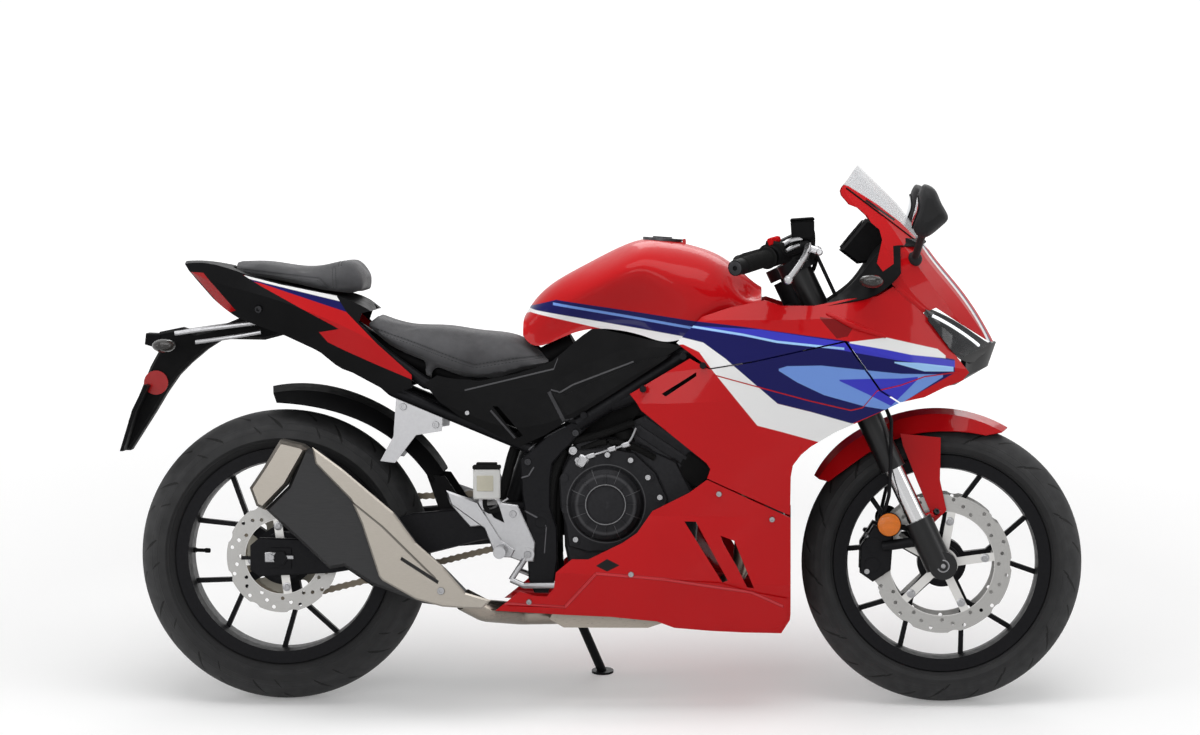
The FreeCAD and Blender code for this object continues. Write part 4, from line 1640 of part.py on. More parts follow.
def leaned(shape):
    """The piece on the bike that leans to its left and stands on the floor."""
    copy = shape.copy()
    copy.rotate(V(0, 0, 0), V(-1, 0, 0), LEAN_ANGLE)
    copy.translate(V(0, 0, FLOOR_LIFT))
    return copy


def main():
    os.makedirs("parts", exist_ok=True)
    shapes = {make.__name__: leaned(make()) for make in PIECES}
    box = Part.makeCompound(list(shapes.values())).optimalBoundingBox(False, False)
    centre = V(-(box.XMin + box.XMax) / 2, -(box.YMin + box.YMax) / 2, 0)
    for name, shape in shapes.items():
        shape.translate(centre)
        shape.exportStep("parts/" + name + ".step")


main()
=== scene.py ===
"""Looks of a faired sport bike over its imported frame.

Lengths are metres. Places on the bodywork are written as shares of the upright bike's side view: one hundred
shares are the wheelbase, measured forward from the rear axle and up from the floor.
"""

import json
import math
from functools import cache

import bmesh
import bpy
from mathutils import Matrix, Vector
from mathutils.bvhtree import BVHTree
from mathutils.kdtree import KDTree


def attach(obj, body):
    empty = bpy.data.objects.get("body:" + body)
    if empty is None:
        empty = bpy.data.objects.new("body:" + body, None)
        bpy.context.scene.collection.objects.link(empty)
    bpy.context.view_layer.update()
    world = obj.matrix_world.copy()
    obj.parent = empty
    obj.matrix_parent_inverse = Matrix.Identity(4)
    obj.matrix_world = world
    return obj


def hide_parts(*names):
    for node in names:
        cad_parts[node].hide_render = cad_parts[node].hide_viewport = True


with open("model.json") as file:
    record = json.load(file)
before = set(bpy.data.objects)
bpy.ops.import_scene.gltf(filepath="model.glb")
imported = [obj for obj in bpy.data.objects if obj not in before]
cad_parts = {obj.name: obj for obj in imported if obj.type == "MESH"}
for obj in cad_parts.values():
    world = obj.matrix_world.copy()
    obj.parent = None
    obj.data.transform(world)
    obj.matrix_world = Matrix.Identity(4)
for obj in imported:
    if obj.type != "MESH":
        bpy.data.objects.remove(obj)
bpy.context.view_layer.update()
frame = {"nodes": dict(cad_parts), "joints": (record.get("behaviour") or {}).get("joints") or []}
nodes = frame["nodes"]
joints = {j["name"]: j for j in frame["joints"]}

# The bike's own upright frame inside the leaning row frame
SHARE = 1.41 / 100
MM_PER_SHARE = 14.1
REAR_AXLE_UP = 0.31233
LEAN = math.radians(11)
RAKE = math.radians(25.5)
STEERING_FOOT = 1.512
TURN = Matrix.Rotation(-LEAN, 3, "X")
REAR_AXLE = Vector(joints["rear_wheel_spin"]["pos_m"])
ORIGIN = REAR_AXLE - TURN @ Vector((0, 0, REAR_AXLE_UP))
TO_WORLD = Matrix.Translation(ORIGIN) @ TURN.to_4x4()
TO_BIKE = TO_WORLD.inverted()
FRONT_AXLE = TO_BIKE @ Vector(joints["front_wheel_spin"]["pos_m"])


def at(x_share, z_share, y=0.0):
    return TO_WORLD @ Vector((x_share * SHARE, y, z_share * SHARE))


# ---------------------------------------------------------------- materials
def group_of_shares():
    """Node group that gives the place on the upright bike, in shares."""
    tree = bpy.data.node_groups.new("bike_shares", "ShaderNodeTree")
    tree.interface.new_socket("Shares", in_out="OUTPUT", socket_type="NodeSocketVector")
    coordinate = tree.nodes.new("ShaderNodeTexCoord")
    mapping = tree.nodes.new("ShaderNodeMapping")
    mapping.inputs["Scale"].default_value = (1 / SHARE,) * 3
    mapping.inputs["Rotation"].default_value = (LEAN, 0, 0)
    mapping.inputs["Location"].default_value = -(TURN.inverted() @ ORIGIN) / SHARE
    out = tree.nodes.new("NodeGroupOutput")
    tree.links.new(coordinate.outputs["Object"], mapping.inputs["Vector"])
    tree.links.new(mapping.outputs["Vector"], out.inputs["Shares"])
    return tree


SHARES_GROUP = group_of_shares()


class Nodes:
    """A node tree with short calls for the nodes used here."""

    def __init__(self, tree):
        self.tree = tree

    def node(self, kind, **settings):
        made = self.tree.nodes.new("ShaderNode" + kind)
        for key, value in settings.items():
            setattr(made, key, value)
        return made

    def feed(self, socket, value):
        if isinstance(value, bpy.types.NodeSocket):
            self.tree.links.new(value, socket)
        elif value is not None:
            socket.default_value = value

    def math(self, operation, a, b=None, c=None, clamp=False):
        made = self.node("Math", operation=operation, use_clamp=clamp)
        for socket, value in zip(made.inputs, (a, b, c)):
            self.feed(socket, value)
        return made.outputs[0]

    def ramp(self, value, low, high, out_low=0.0, out_high=1.0):
        made = self.node("MapRange", clamp=True)
        for socket, number in zip(made.inputs, (value, low, high, out_low, out_high)):
            self.feed(socket, number)
        return made.outputs[0]

    def looked_at(self):
        """One where the camera, a reflection or a refraction looks, and nought where light arrives."""
        rays = self.node("LightPath").outputs
        both = self.math("ADD", rays["Is Camera Ray"], rays["Is Glossy Ray"])
        return self.math("ADD", both, rays["Is Transmission Ray"], clamp=True)


class Shader(Nodes):
    """A material with its own surface."""

    def __init__(self, name, color=(0.5, 0.5, 0.5), roughness=0.5, metallic=0.0, **sockets):
        self.material = bpy.data.materials.new(name)
        self.material.use_nodes = True
        super().__init__(self.material.node_tree)
        self.surface = self.tree.nodes["Principled BSDF"]
        self.surface.inputs["Base Color"].default_value = (*color, 1)
        self.surface.inputs["Roughness"].default_value = roughness
        self.surface.inputs["Metallic"].default_value = metallic
        for key, value in sockets.items():
            self.surface.inputs[key.replace("_", " ")].default_value = value
        self._shares = None

    def shares(self):
        """Sockets of the place in shares: forward, sideways, up."""
        if self._shares is None:
            made = self.node("Group")
            made.node_tree = SHARES_GROUP
            split = self.node("SeparateXYZ")
            self.tree.links.new(made.outputs[0], split.inputs[0])
            self._shares = (split.outputs[0], split.outputs[1], split.outputs[2], made.outputs[0])
        return self._shares

    def place(self):
        return self.node("TexCoord").outputs["Object"]

    def noise(self, scale, detail=2.0, stretch=None, roughness=0.5):
        made = self.node("TexNoise")
        made.inputs["Scale"].default_value = scale
        made.inputs["Detail"].default_value = detail
        made.inputs["Roughness"].default_value = roughness
        vector = self.place()
        if stretch:
            mapping = self.node("Mapping")
            mapping.inputs["Scale"].default_value = stretch
            self.tree.links.new(vector, mapping.inputs["Vector"])
            vector = mapping.outputs["Vector"]
        self.tree.links.new(vector, made.inputs["Vector"])
        return made.outputs["Fac"]

    def cells(self, scale, feature="F1", randomness=1.0):
        made = self.node("TexVoronoi", feature=feature)
        made.inputs["Scale"].default_value = scale
        made.inputs["Randomness"].default_value = randomness
        self.tree.links.new(self.place(), made.inputs["Vector"])
        return made.outputs["Distance"]

    def mix(self, factor, a, b):
        made = self.node("Mix", data_type="RGBA")
        self.feed(made.inputs["Factor"], factor)
        for socket, value in ((made.inputs[6], a), (made.inputs[7], b)):
            self.feed(socket, value if isinstance(value, bpy.types.NodeSocket) else (*value, 1))
        return made.outputs[2]

    def color(self, value):
        self.feed(self.surface.inputs["Base Color"], value)

    def rough(self, value):
        self.feed(self.surface.inputs["Roughness"], value)

    def bump(self, height, distance, strength=1.0):
        made = self.node("Bump")
        made.inputs["Strength"].default_value = strength
        made.inputs["Distance"].default_value = distance
        self.feed(made.inputs["Height"], height)
        before = self.surface.inputs["Normal"].links
        if before:
            self.feed(made.inputs["Normal"], before[0].from_socket)
        self.tree.links.new(made.outputs[0], self.surface.inputs["Normal"])

    def curve(self, value, points):
        """Straight runs through points, as one curve of the value."""
        low, high = points[0][0], points[-1][0]
        floor = min(p[1] for p in points)
        span = max(max(p[1] for p in points) - floor, 1e-4)
        made = self.node("FloatCurve")
        line = made.mapping.curves[0]
        scaled = [((u - low) / (high - low), (v - floor) / span) for u, v in points]
        line.points[0].location = scaled[0]
        line.points[1].location = scaled[-1]
        for spot in scaled[1:-1]:
            line.points.new(*spot)
        for point in line.points:
            point.handle_type = "VECTOR"
        made.mapping.update()
        self.feed(made.inputs["Value"], self.ramp(value, low, high))
        return self.math("MULTIPLY_ADD", made.outputs[0], span, floor)

    def band(self, upper, lower, angle=0.0, soft=0.05):
        """Mask between two lines of side-view points, seen along a direction at the angle."""
        x, _, z, _ = self.shares()
        a = math.radians(angle)
        c, s = math.cos(a), math.sin(a)

        def turn(points):
            return sorted((px * c + pz * s, pz * c - px * s) for px, pz in points)

        if angle:
            u = self.math("ADD", self.math("MULTIPLY", x, c), self.math("MULTIPLY", z, s))
            v = self.math("SUBTRACT", self.math("MULTIPLY", z, c), self.math("MULTIPLY", x, s))
        else:
            u, v = x, z
        upper, lower = turn(upper), turn(lower)
        start = max(upper[0][0], lower[0][0])
        end = min(upper[-1][0], lower[-1][0])
        parts = [self.math("SUBTRACT", self.curve(u, upper), v), self.math("SUBTRACT", v, self.curve(u, lower)),
                 self.math("SUBTRACT", u, start), self.math("SUBTRACT", end, u)]
        nearest = parts[0]
        for part in parts[1:]:
            nearest = self.math("MINIMUM", nearest, part)
        return self.ramp(nearest, -soft, soft)

    def stroke(self, points, half, angle=0.0, soft=0.04):
        """Mask of a line of even width."""
        a = math.radians(angle)
        up = (-math.sin(a) * half, math.cos(a) * half)
        return self.band([(x + up[0], z + up[1]) for x, z in points],
                         [(x - up[0], z - up[1]) for x, z in points], angle, soft)


def srgb(red, green, blue):
    """Colour as read in the photograph, for a socket."""
    return tuple((c / 12.92 if c <= 0.04045 else ((c + 0.055) / 1.055) ** 2.4)
                 for c in (red / 255, green / 255, blue / 255))


RED = srgb(190, 14, 20)
# Deeper red used as painted shade in the side panels' hollow
SHADE_RED = srgb(120, 4, 8)
NAVY = srgb(8, 9, 84)
ROYAL = srgb(58, 58, 190)
SKY = srgb(112, 150, 222)
ICE = srgb(160, 205, 250)
WHITE = srgb(236, 236, 236)
BLACK = srgb(17, 17, 18)


def gloss_paint(name, color):
    """Lacquer with a faint orange peel."""
    made = Shader(name, color, 0.34, 0.0, Coat_Weight=0.24, Coat_Roughness=0.05, Specular_IOR_Level=0.05)
    made.rough(made.ramp(made.noise(35, 2), 0.3, 0.7, 0.3, 0.4))
    made.bump(made.noise(420, 2), 0.00002, 0.35)
    return made


def plastic(name, color, roughness=0.5, grain=900, depth=0.00006):
    """Moulded plastic with a fine grain."""
    made = Shader(name, color, roughness, 0.0, Specular_IOR_Level=0.05)
    made.bump(made.noise(grain, 3), depth, 0.8)
    shade = made.ramp(made.noise(14, 4), 0.25, 0.75)
    made.color(made.mix(shade, [c * 0.85 for c in color], [min(c * 1.15 + 0.001, 1) for c in color]))
    made.rough(made.ramp(made.noise(60, 3), 0.3, 0.7, roughness - 0.06, roughness + 0.08))
    return made


def metal(name, color, roughness=0.35, stretch=(4, 4, 60), depth=0.00002, scale=26):
    """Bare metal with fine brushed lines."""
    made = Shader(name, color, roughness, 1.0)
    lines = made.noise(scale, 5, stretch)
    made.bump(lines, depth, 0.4)
    made.rough(made.ramp(lines, 0.3, 0.7, roughness - 0.04, roughness + 0.06))
    shade = made.ramp(lines, 0.25, 0.75)
    made.color(made.mix(shade, [c * 0.93 for c in color], [min(c * 1.04, 1) for c in color]))
    return made


def cast(name, color, roughness=0.5, metallic=0.6, mottle=0.1):
    """Painted or bare casting with a fine sandy skin."""
    made = Shader(name, color, roughness, metallic, Specular_IOR_Level=0.08)
    made.bump(made.noise(700, 3), 0.0001, 0.7)
    shade = made.ramp(made.noise(160, 4), 0.3, 0.7)
    made.color(made.mix(shade, [c * (1 - mottle) for c in color], [min(c * (1 + mottle), 1) for c in color]))
    made.rough(made.ramp(made.noise(90, 3), 0.3, 0.7, roughness - 0.06, roughness + 0.08))
    return made


def clear(name, color, roughness=0.03, alpha=0.35, **sockets):
    """Clear or tinted moulding with faint flow marks."""
    made = Shader(name, color, roughness, 0.0, Alpha=alpha, IOR=1.49, Specular_IOR_Level=0.4, **sockets)
    made.bump(made.noise(30, 2), 0.000002, 0.1)
    made.color(made.mix(made.ramp(made.noise(8, 2), 0.3, 0.7), [c * 0.96 for c in color], color))
    return made


def painted(made, base, layers):
    for mask, color in layers:
        base = made.mix(mask, base, color)
    made.color(base)
    return made.material


def relief_and_highlights(made, layers, depth):
    """Lighter lines painted as highlights over a finish's own colour, raised by the depth."""
    if depth:
        for mask, _ in layers:
            made.bump(mask, depth, 1.0)
    return painted(made, made.surface.inputs["Base Color"].links[0].from_socket, layers)


def paint_base(made):
    """Red that is a shade deeper in soft patches."""
    return made.mix(made.ramp(made.noise(5, 2), 0.3, 0.7), [c * 0.94 for c in RED], RED)


def tank_paint():
    made = gloss_paint("tank_paint", RED)
    white = made.band([(36.4, 59.9), (38.5, 60.0), (63.0, 56.6)],
                      [(36.4, 58.9), (37.6, 59.3), (59.2, 54.5), (63, 53.6)])
    navy = made.band([(37.4, 60.2), (38.4, 60.4), (41.7, 61.2), (62.8, 58.1), (74, 56.6)],
                     [(37.4, 59.9), (38.5, 59.6), (60.4, 55.9), (74, 53.7)])
    line = made.stroke([(41.2, 60.6), (61, 57.3), (74, 55.2)], 0.2)
    return painted(made, paint_base(made), [(white, WHITE), (navy, NAVY), (line, SKY)])


def cowl_paint():
    """Side panels: red with the white, navy and blue sweeps, and the hollow under the rib painted deeper red as painted
    shade.
    """
    made = gloss_paint("cowl_paint", RED)
    navy = made.band([(60.6, 58.4), (70.0, 57.4), (85, 55.4), (92.0, 54.2), (101.6, 52.4)],
                     [(60.6, 55.8), (64.0, 55.0), (67.4, 52.6), (75.1, 46.0), (80.0, 44.8), (86.2, 43.0),
                      (93.4, 46.0), (101.6, 50.4)])
    white = made.band([(59.8, 55.6), (61.6, 56.0), (66.2, 55.2), (69.2, 52.3), (75.1, 46.0), (80, 44.8),
                       (86.4, 43.2)],
                      [(59.8, 54.6), (61.0, 54.7), (63.4, 53.6), (65.4, 50.9), (72.1, 42.7), (76, 41.7), (81.4, 40.2),
                       (86.4, 42.8)])
    royal = made.band([(62.0, 57.5), (72.5, 57.0), (85, 55.2), (101.6, 52.2)],
                      [(62.0, 57.2), (72.5, 55.6), (85, 53.9), (93, 52.4), (101.6, 51.2)])
    sky = made.band([(75.3, 51.2), (76.5, 51.6), (81.6, 51.7), (93.5, 50.4), (99.8, 50.2)],
                    [(75.3, 50.9), (78, 49.2), (82, 47.3), (88, 45.6), (91.5, 45.0), (93.4, 45.9), (99.8, 49.8)])
    deep = made.band([(84.3, 49.6), (88.5, 49.7), (93.5, 49.7), (96, 49.9)],
                     [(84.3, 49.4), (88.5, 47.4), (92.0, 45.6), (96, 49.5)])
    ice = made.band([(92.5, 52.2), (96, 52.0), (101.4, 51.3)], [(92.5, 52.0), (97.0, 50.7), (101.4, 50.6)])
    wedge = made.band([(85.8, 55.2), (91.3, 55.8), (99.0, 54.0), (100.2, 53.0)],
                      [(85.8, 55.0), (91.3, 54.0), (95.0, 53.2), (100.2, 52.6)])
    line = made.stroke([(61.4, 57.5), (70, 56.2), (75, 55.2), (85, 54.2)], 0.17)
    seam_points = [(65.7, 50.2), (80, 46.4), (86, 45), (87.8, 45.4), (89.9, 47.9), (93.5, 48.7), (97, 49.9),
                   (102.1, 50.5)]
    seam = made.stroke(seam_points, 0.09)
    made.bump(made.math("MULTIPLY", seam, -1), 0.0012, 1.0)
    # Painted shade: the hollow under the rib is painted a deeper red.
    hollow = made.band([(81.4, 58.9), (84.0, 58.5), (86.2, 57.3)],
                       [(81.4, 58.6), (83.9, 55.7), (85.5, 56.0), (86.2, 57.1)])
    layers = [(white, WHITE), (navy, NAVY), (royal, ROYAL), (sky, SKY), (deep, ROYAL), (ice, ICE), (line, ICE),
              (wedge, WHITE), (seam, RED), (hollow, SHADE_RED)]
    return painted(made, paint_base(made), layers)


def nose_paint():
    made = gloss_paint("nose_paint", RED)
    _, y, _, _ = made.shares()
    side = made.math("ABSOLUTE", y)
    lip = made.math("MULTIPLY", made.ramp(side, 1.6, 1.75), made.ramp(side, 2.9, 3.05, 1, 0))
    inner = made.math("MULTIPLY", made.ramp(side, 1.15, 1.3), made.ramp(side, 1.65, 1.8, 1, 0))
    slot = made.stroke([(88.3, 76.2), (92.6, 73.2)], 0.16, angle=-35)
    made.bump(made.math("MULTIPLY", slot, -1), 0.003, 1.0)
    return painted(made, paint_base(made), [(lip, WHITE), (inner, NAVY), (slot, BLACK)])


def tail_paint():
    made = gloss_paint("tail_paint", RED)
    white = made.band([(-5.5, 64.9), (-4.2, 64.6), (8.9, 62.0), (9.4, 61.4)], [(-5.5, 64.5), (-4.3, 64.2), (9.4, 60.7)])
    blue = made.band([(-5.2, 64.5), (-4.3, 64.2), (9.5, 60.9), (10.4, 60.0)], [(-5.2, 64.1), (-3, 63.7), (10.4, 59.3)])
    return painted(made, paint_base(made), [(white, WHITE), (blue, NAVY)])


def red_paint():
    made = gloss_paint("red_paint", RED)
    made.color(paint_base(made))
    return made.material


def belly_paint():
    """Lower cowl: red, with a pressed ridge along it whose lines are also painted pale pink as painted highlights, and
    a dark diamond seal by the engine.
    """
    made = gloss_paint("belly_paint", RED)
    ridge = made.stroke([(43.2, 15.1), (47.9, 20.2)], 0.22, angle=47)
    along = made.stroke([(47.9, 20.3), (58.0, 19.5), (71.2, 17.5), (76.0, 15.2)], 0.2, angle=-8)
    foot = made.stroke([(34.0, 15.6), (43.2, 15.1)], 0.18)
    for mask in (ridge, along, foot):
        made.bump(mask, 0.003, 1.0)
    # Painted highlight: the ridge lines are painted pale pink over the red.
    edge = made.math("MAXIMUM", made.math("MAXIMUM", ridge, along), foot)
    seal = made.band([(48.0, 21.5), (49.6, 22.5), (51.4, 21.6)], [(48.0, 21.4), (49.6, 20.6), (51.4, 21.5)])
    return painted(made, paint_base(made), [(edge, srgb(205, 60, 66)), (seal, BLACK)])


def seat_cover(name):
    """Grained vinyl with a soft sheen."""
    made = Shader(name, srgb(68, 68, 70), 0.6, 0.0, Sheen_Weight=0.12, Sheen_Roughness=0.5, Specular_IOR_Level=0.2)
    made.bump(made.cells(1250), 0.00018, 0.9)
    made.bump(made.noise(40, 4), 0.0006, 0.3)
    made.color(made.mix(made.ramp(made.noise(16, 5), 0.3, 0.7), srgb(60, 60, 62), srgb(78, 78, 80)))
    made.rough(made.ramp(made.noise(120, 3), 0.3, 0.7, 0.54, 0.7))
    return made.material


def round_axle(made, centre):
    """Sockets of the distance from a wheel's centre in the side view and of the turn round it."""
    x, _, z, _ = made.shares()
    forward = made.math("SUBTRACT", x, centre[0])
    up = made.math("SUBTRACT", z, centre[1])
    radius = made.math("SQRT", made.math("ADD", made.math("POWER", forward, 2), made.math("POWER", up, 2)))
    return radius, made.math("DIVIDE", made.math("ARCTAN2", up, forward), math.tau)


def slash(made, along, across, period, start, end, half):
    """Mask of a groove from one tread place to another, tapered to both ends, repeated along the tread."""
    run = (end[0] - start[0], end[1] - start[1])
    square = run[0] ** 2 + run[1] ** 2
    here = made.math("SUBTRACT", along, start[0] - period / 4)
    here = made.math("SUBTRACT", made.math("MULTIPLY", made.math("FRACT", made.math("DIVIDE", here, period)), period),
                     period / 4)
    side = made.math("SUBTRACT", across, start[1])
    dot = made.math("ADD", made.math("MULTIPLY", here, run[0]), made.math("MULTIPLY", side, run[1]))
    t = made.math("DIVIDE", dot, square, clamp=True)
    off_u = made.math("SUBTRACT", here, made.math("MULTIPLY", t, run[0]))
    off_v = made.math("SUBTRACT", side, made.math("MULTIPLY", t, run[1]))
    gap = made.math("SQRT", made.math("ADD", made.math("POWER", off_u, 2), made.math("POWER", off_v, 2)))
    belly = made.math("SUBTRACT", 1, made.math("ABSOLUTE", made.math("MULTIPLY_ADD", t, 2, -1.25)))
    reach = made.math("MULTIPLY_ADD", belly, half * 0.75, half * 0.35)
    return made.ramp(made.math("SUBTRACT", reach, gap), -0.02, 0.03)


def tyre_rubber(name, centre, tyre_radius, crown_radius, pitches, slashes):
    """Black rubber with slanted tread grooves that repeat round the wheel, painted near black as painted shade, and
    ringed side walls.
    """
    made = Shader(name, srgb(44, 44, 45), 0.7, 0.0, Specular_IOR_Level=0.3)
    _, y, _, _ = made.shares()
    radius, turn = round_axle(made, centre)
    around = made.math("MULTIPLY", made.math("ADD", turn, 1), tyre_radius * math.tau)
    depth = made.math("SUBTRACT", radius, tyre_radius - crown_radius)
    across = made.math("MULTIPLY", made.math("ARCTAN2", made.math("ABSOLUTE", y), depth), crown_radius)
    period = tyre_radius * math.tau / pitches
    grooves = None
    for lag, start, end, half in slashes:
        cut = slash(made, made.math("ADD", around, lag * period), across, period, start, end, half)
        grooves = cut if grooves is None else made.math("MAXIMUM", grooves, cut)
    shade = made.ramp(made.noise(40, 4), 0.3, 0.7)
    rubber = made.mix(shade, srgb(38, 38, 39), srgb(50, 50, 51))
    wall = made.ramp(radius, tyre_radius - 3.2, tyre_radius - 2.2, 1, 0)
    rubber = made.mix(wall, rubber, srgb(34, 34, 35))
    # Painted shade: the grooves are painted near black.
    made.color(made.mix(grooves, rubber, srgb(10, 10, 10)))
    made.bump(made.noise(600, 3), 0.00008, 0.8)
    made.bump(made.math("MULTIPLY", grooves, -1), 0.003, 1.0)
    rings = None
    for inward, half in ((4.7, 0.05), (4.3, 0.04), (2.9, 0.05), (2.0, 0.04)):
        ring = made.ramp(made.math("ABSOLUTE", made.math("SUBTRACT", radius, tyre_radius - inward)), half, half + 0.04,
                         1, 0)
        rings = ring if rings is None else made.math("MAXIMUM", rings, ring)
    made.bump(rings, 0.0008, 0.8)
    made.rough(made.ramp(made.noise(30, 3), 0.3, 0.7, 0.6, 0.76))
    return made.material


def ground_steel(name, centre, color, rub):
    """Disc face ground in rings round the axle, with a darker carrier inside the rubbed band."""
    made = Shader(name, color, 0.34, 1.0)
    radius, _ = round_axle(made, centre)
    rings = made.node("TexNoise", noise_dimensions="1D")
    rings.inputs["Scale"].default_value = 14
    rings.inputs["Detail"].default_value = 8
    made.feed(rings.inputs["W"], radius)
    made.bump(rings.outputs[0], 0.00002, 0.6)
    band = made.ramp(radius, rub - 0.05, rub + 0.05)
    made.rough(made.ramp(rings.outputs[0], 0.35, 0.65, 0.28, 0.42))
    shade = made.ramp(rings.outputs[0], 0.35, 0.65)
    face = made.mix(shade, [c * 0.86 for c in color], color)
    made.color(made.mix(band, [c * 1.5 for c in color], face))
    return made.material


def fork_finish():
    """Black outer tubes and castings, with the slider bright between them."""
    made = Shader("fork_finish", srgb(24, 24, 25), 0.26, 0.4, Specular_IOR_Level=0.4)
    x, _, z, _ = made.shares()
    foot = STEERING_FOOT / SHARE
    up = made.math("ADD", made.math("MULTIPLY", made.math("SUBTRACT", foot, x), math.sin(RAKE)),
                   made.math("MULTIPLY", z, math.cos(RAKE)))
    bright = made.math("MULTIPLY", made.ramp(up, 30.1, 30.2), made.ramp(up, 38.6, 38.7, 1, 0))
    lines = made.noise(40, 4, (3, 3, 30))
    made.color(made.mix(bright, srgb(24, 24, 25), made.mix(lines, srgb(186, 186, 188), srgb(206, 206, 206))))
    made.feed(made.surface.inputs["Metallic"], made.ramp(bright, 0, 1, 0.4, 1.0))
    made.rough(made.ramp(bright, 0, 1, 0.34, 0.16))
    made.bump(made.noise(500, 3), 0.00004, 0.5)
    return made.material


def muffler_finish():
    """Dark painted body with the bare steel end cap behind a slanted joint."""
    made = Shader("muffler_finish", srgb(46, 46, 47), 0.5, 0.5, Specular_IOR_Level=0.3)
    x, _, z, _ = made.shares()
    joint = [(-1.7, 29.9), (4.45, 38.95)]
    (ax, az), (bx, bz) = joint
    side = made.math("SUBTRACT", made.math("MULTIPLY", made.math("SUBTRACT", z, az), bx - ax),
                     made.math("MULTIPLY", made.math("SUBTRACT", x, ax), bz - az))
    end = made.ramp(side, -0.3, 0.3)
    lines = made.noise(22, 4, (2, 2, 40))
    made.color(made.mix(end, made.mix(lines, srgb(40, 40, 41), srgb(54, 54, 55)),
                        made.mix(lines, srgb(124, 119, 113), srgb(150, 144, 137))))
    made.feed(made.surface.inputs["Metallic"], made.ramp(end, 0, 1, 0.5, 1.0))
    made.rough(made.ramp(end, 0, 1, 0.5, 0.26))
    made.bump(made.noise(500, 3), 0.00006, 0.6)
    return made.material


def guard_finish():
    """Brushed guard with a pressed crease along its middle, painted darker as painted shade, and a rolled edge."""
    made = Shader("guard_steel", srgb(150, 145, 137), 0.36, 1.0)
    lines = made.noise(26, 5, (4, 4, 60))
    crease = made.stroke([(9.0, 33.0), (16.0, 27.4), (24.0, 19.6)], 0.14, angle=-42)
    # Painted shade: the crease is painted darker than the brushed steel.
    made.color(made.mix(crease, made.mix(lines, srgb(140, 135, 127), srgb(158, 152, 144)), srgb(96, 92, 87)))
    made.bump(lines, 0.00002, 0.4)
    made.bump(made.math("MULTIPLY", crease, -1), 0.002, 1.0)
    made.rough(made.ramp(lines, 0.3, 0.7, 0.32, 0.42))
    return made.material


def cover_finish():
    """Black side cover whose bevels round its raised panel are raised by a bump and painted light grey as painted
    highlights.
    """
    made = plastic("cover_plastic", BLACK, 0.42)
    bevels = [([(40.7, 47.4), (43.0, 43.0)], 0.28, -62, 66), ([(42.2, 47.2), (44.4, 48.5), (53.5, 52.0)], 0.13, 22, 86),
              ([(41.0, 47.7), (42.4, 47.3)], 0.12, -16, 80), ([(43.0, 43.1), (46.0, 43.7), (56.2, 50.4)], 0.13, 30, 60),
              ([(28.0, 47.6), (41.4, 50.8), (42.0, 52.4)], 0.12, 14, 82), ([(31.9, 44.6), (35.6, 40.4)], 0.16, -48, 70)]
    # The bevels are painted in light greys as painted highlights.
    return relief_and_highlights(made, [(made.stroke(points, half, angle), srgb(grey, grey, grey + 2))
                         for points, half, angle, grey in bevels], 0.0012)


def frame_finish():
    """Black castings with raised ribs beside the swingarm's pivot, the ribs painted light grey as painted highlights.
    """
    made = cast("frame_casting", srgb(25, 25, 27), 0.42, 0.3)
    ribs = [([(35.1, 34.0), (37.6, 34.7)], 0.12, 16), ([(37.6, 34.7), (38.4, 36.0)], 0.12, 60),
            ([(34.7, 30.6), (39.5, 28.1)], 0.12, -27), ([(39.5, 28.1), (40.2, 27.1)], 0.12, -55),
            ([(40.3, 27.0), (40.0, 23.0)], 0.1, -86), ([(37.6, 38.6), (39.4, 40.2), (43.2, 42.2)], 0.12, 32)]
    # Painted highlights: the ribs are painted light grey over the black.
    return relief_and_highlights(made, [(made.stroke(*rib), srgb(92, 92, 95)) for rib in ribs], 0.002)


def clutch_finish():
    """Dark cast cover with a raised ring and short raised spokes round its middle; the ring, the spokes and two further
    circles are painted lighter as painted highlights.
    """
    made = cast("cover_casting", srgb(38, 38, 40), 0.44, 0.4)
    radius, turn = round_axle(made, (49.3, 30.5))
    ring, outer, step = [
        made.ramp(made.math("ABSOLUTE", made.math("SUBTRACT", radius, middle)), half, edge, 1, 0)
        for middle, half, edge in ((3.0, 0.05, 0.12), (5.9, 0.04, 0.1), (4.35, 0.05, 0.3))]
    spoke = made.math("ABSOLUTE", made.math("SUBTRACT", made.math("FRACT", made.math("MULTIPLY", turn, 8)), 0.5))
    reach = made.math("MULTIPLY", made.ramp(radius, 3.1, 3.3), made.ramp(radius, 5.5, 5.7, 1, 0))
    spoke = made.math("MULTIPLY", made.ramp(spoke, 0.012, 0.024, 1, 0), reach)
    made.bump(made.math("MAXIMUM", ring, spoke), 0.0016, 1.0)
    # Painted highlights: the circles and spokes are painted lighter than the cover.
    return relief_and_highlights(made, [(step, srgb(62, 62, 64)), (outer, srgb(76, 76, 78)), (spoke, srgb(82, 82, 84)),
                         (ring, srgb(118, 118, 120))], None)


def lamp_lens():
    """Smoked lens over the lamps, closed by a black chin below."""
    made = clear("lamp_lens", srgb(30, 31, 34), 0.05, 0.78)
    x, _, z, _ = made.shares()
    line = made.math("SUBTRACT", made.math("MULTIPLY_ADD", x, 0.405, 11.1), z)
    chin = made.ramp(line, -0.1, 0.1)
    made.color(made.mix(chin, srgb(30, 31, 34), srgb(14, 14, 15)))
    made.feed(made.surface.inputs["Alpha"], made.ramp(chin, 0, 1, 0.78, 1.0))
    made.rough(made.ramp(chin, 0, 1, 0.05, 0.5))
    return made.material


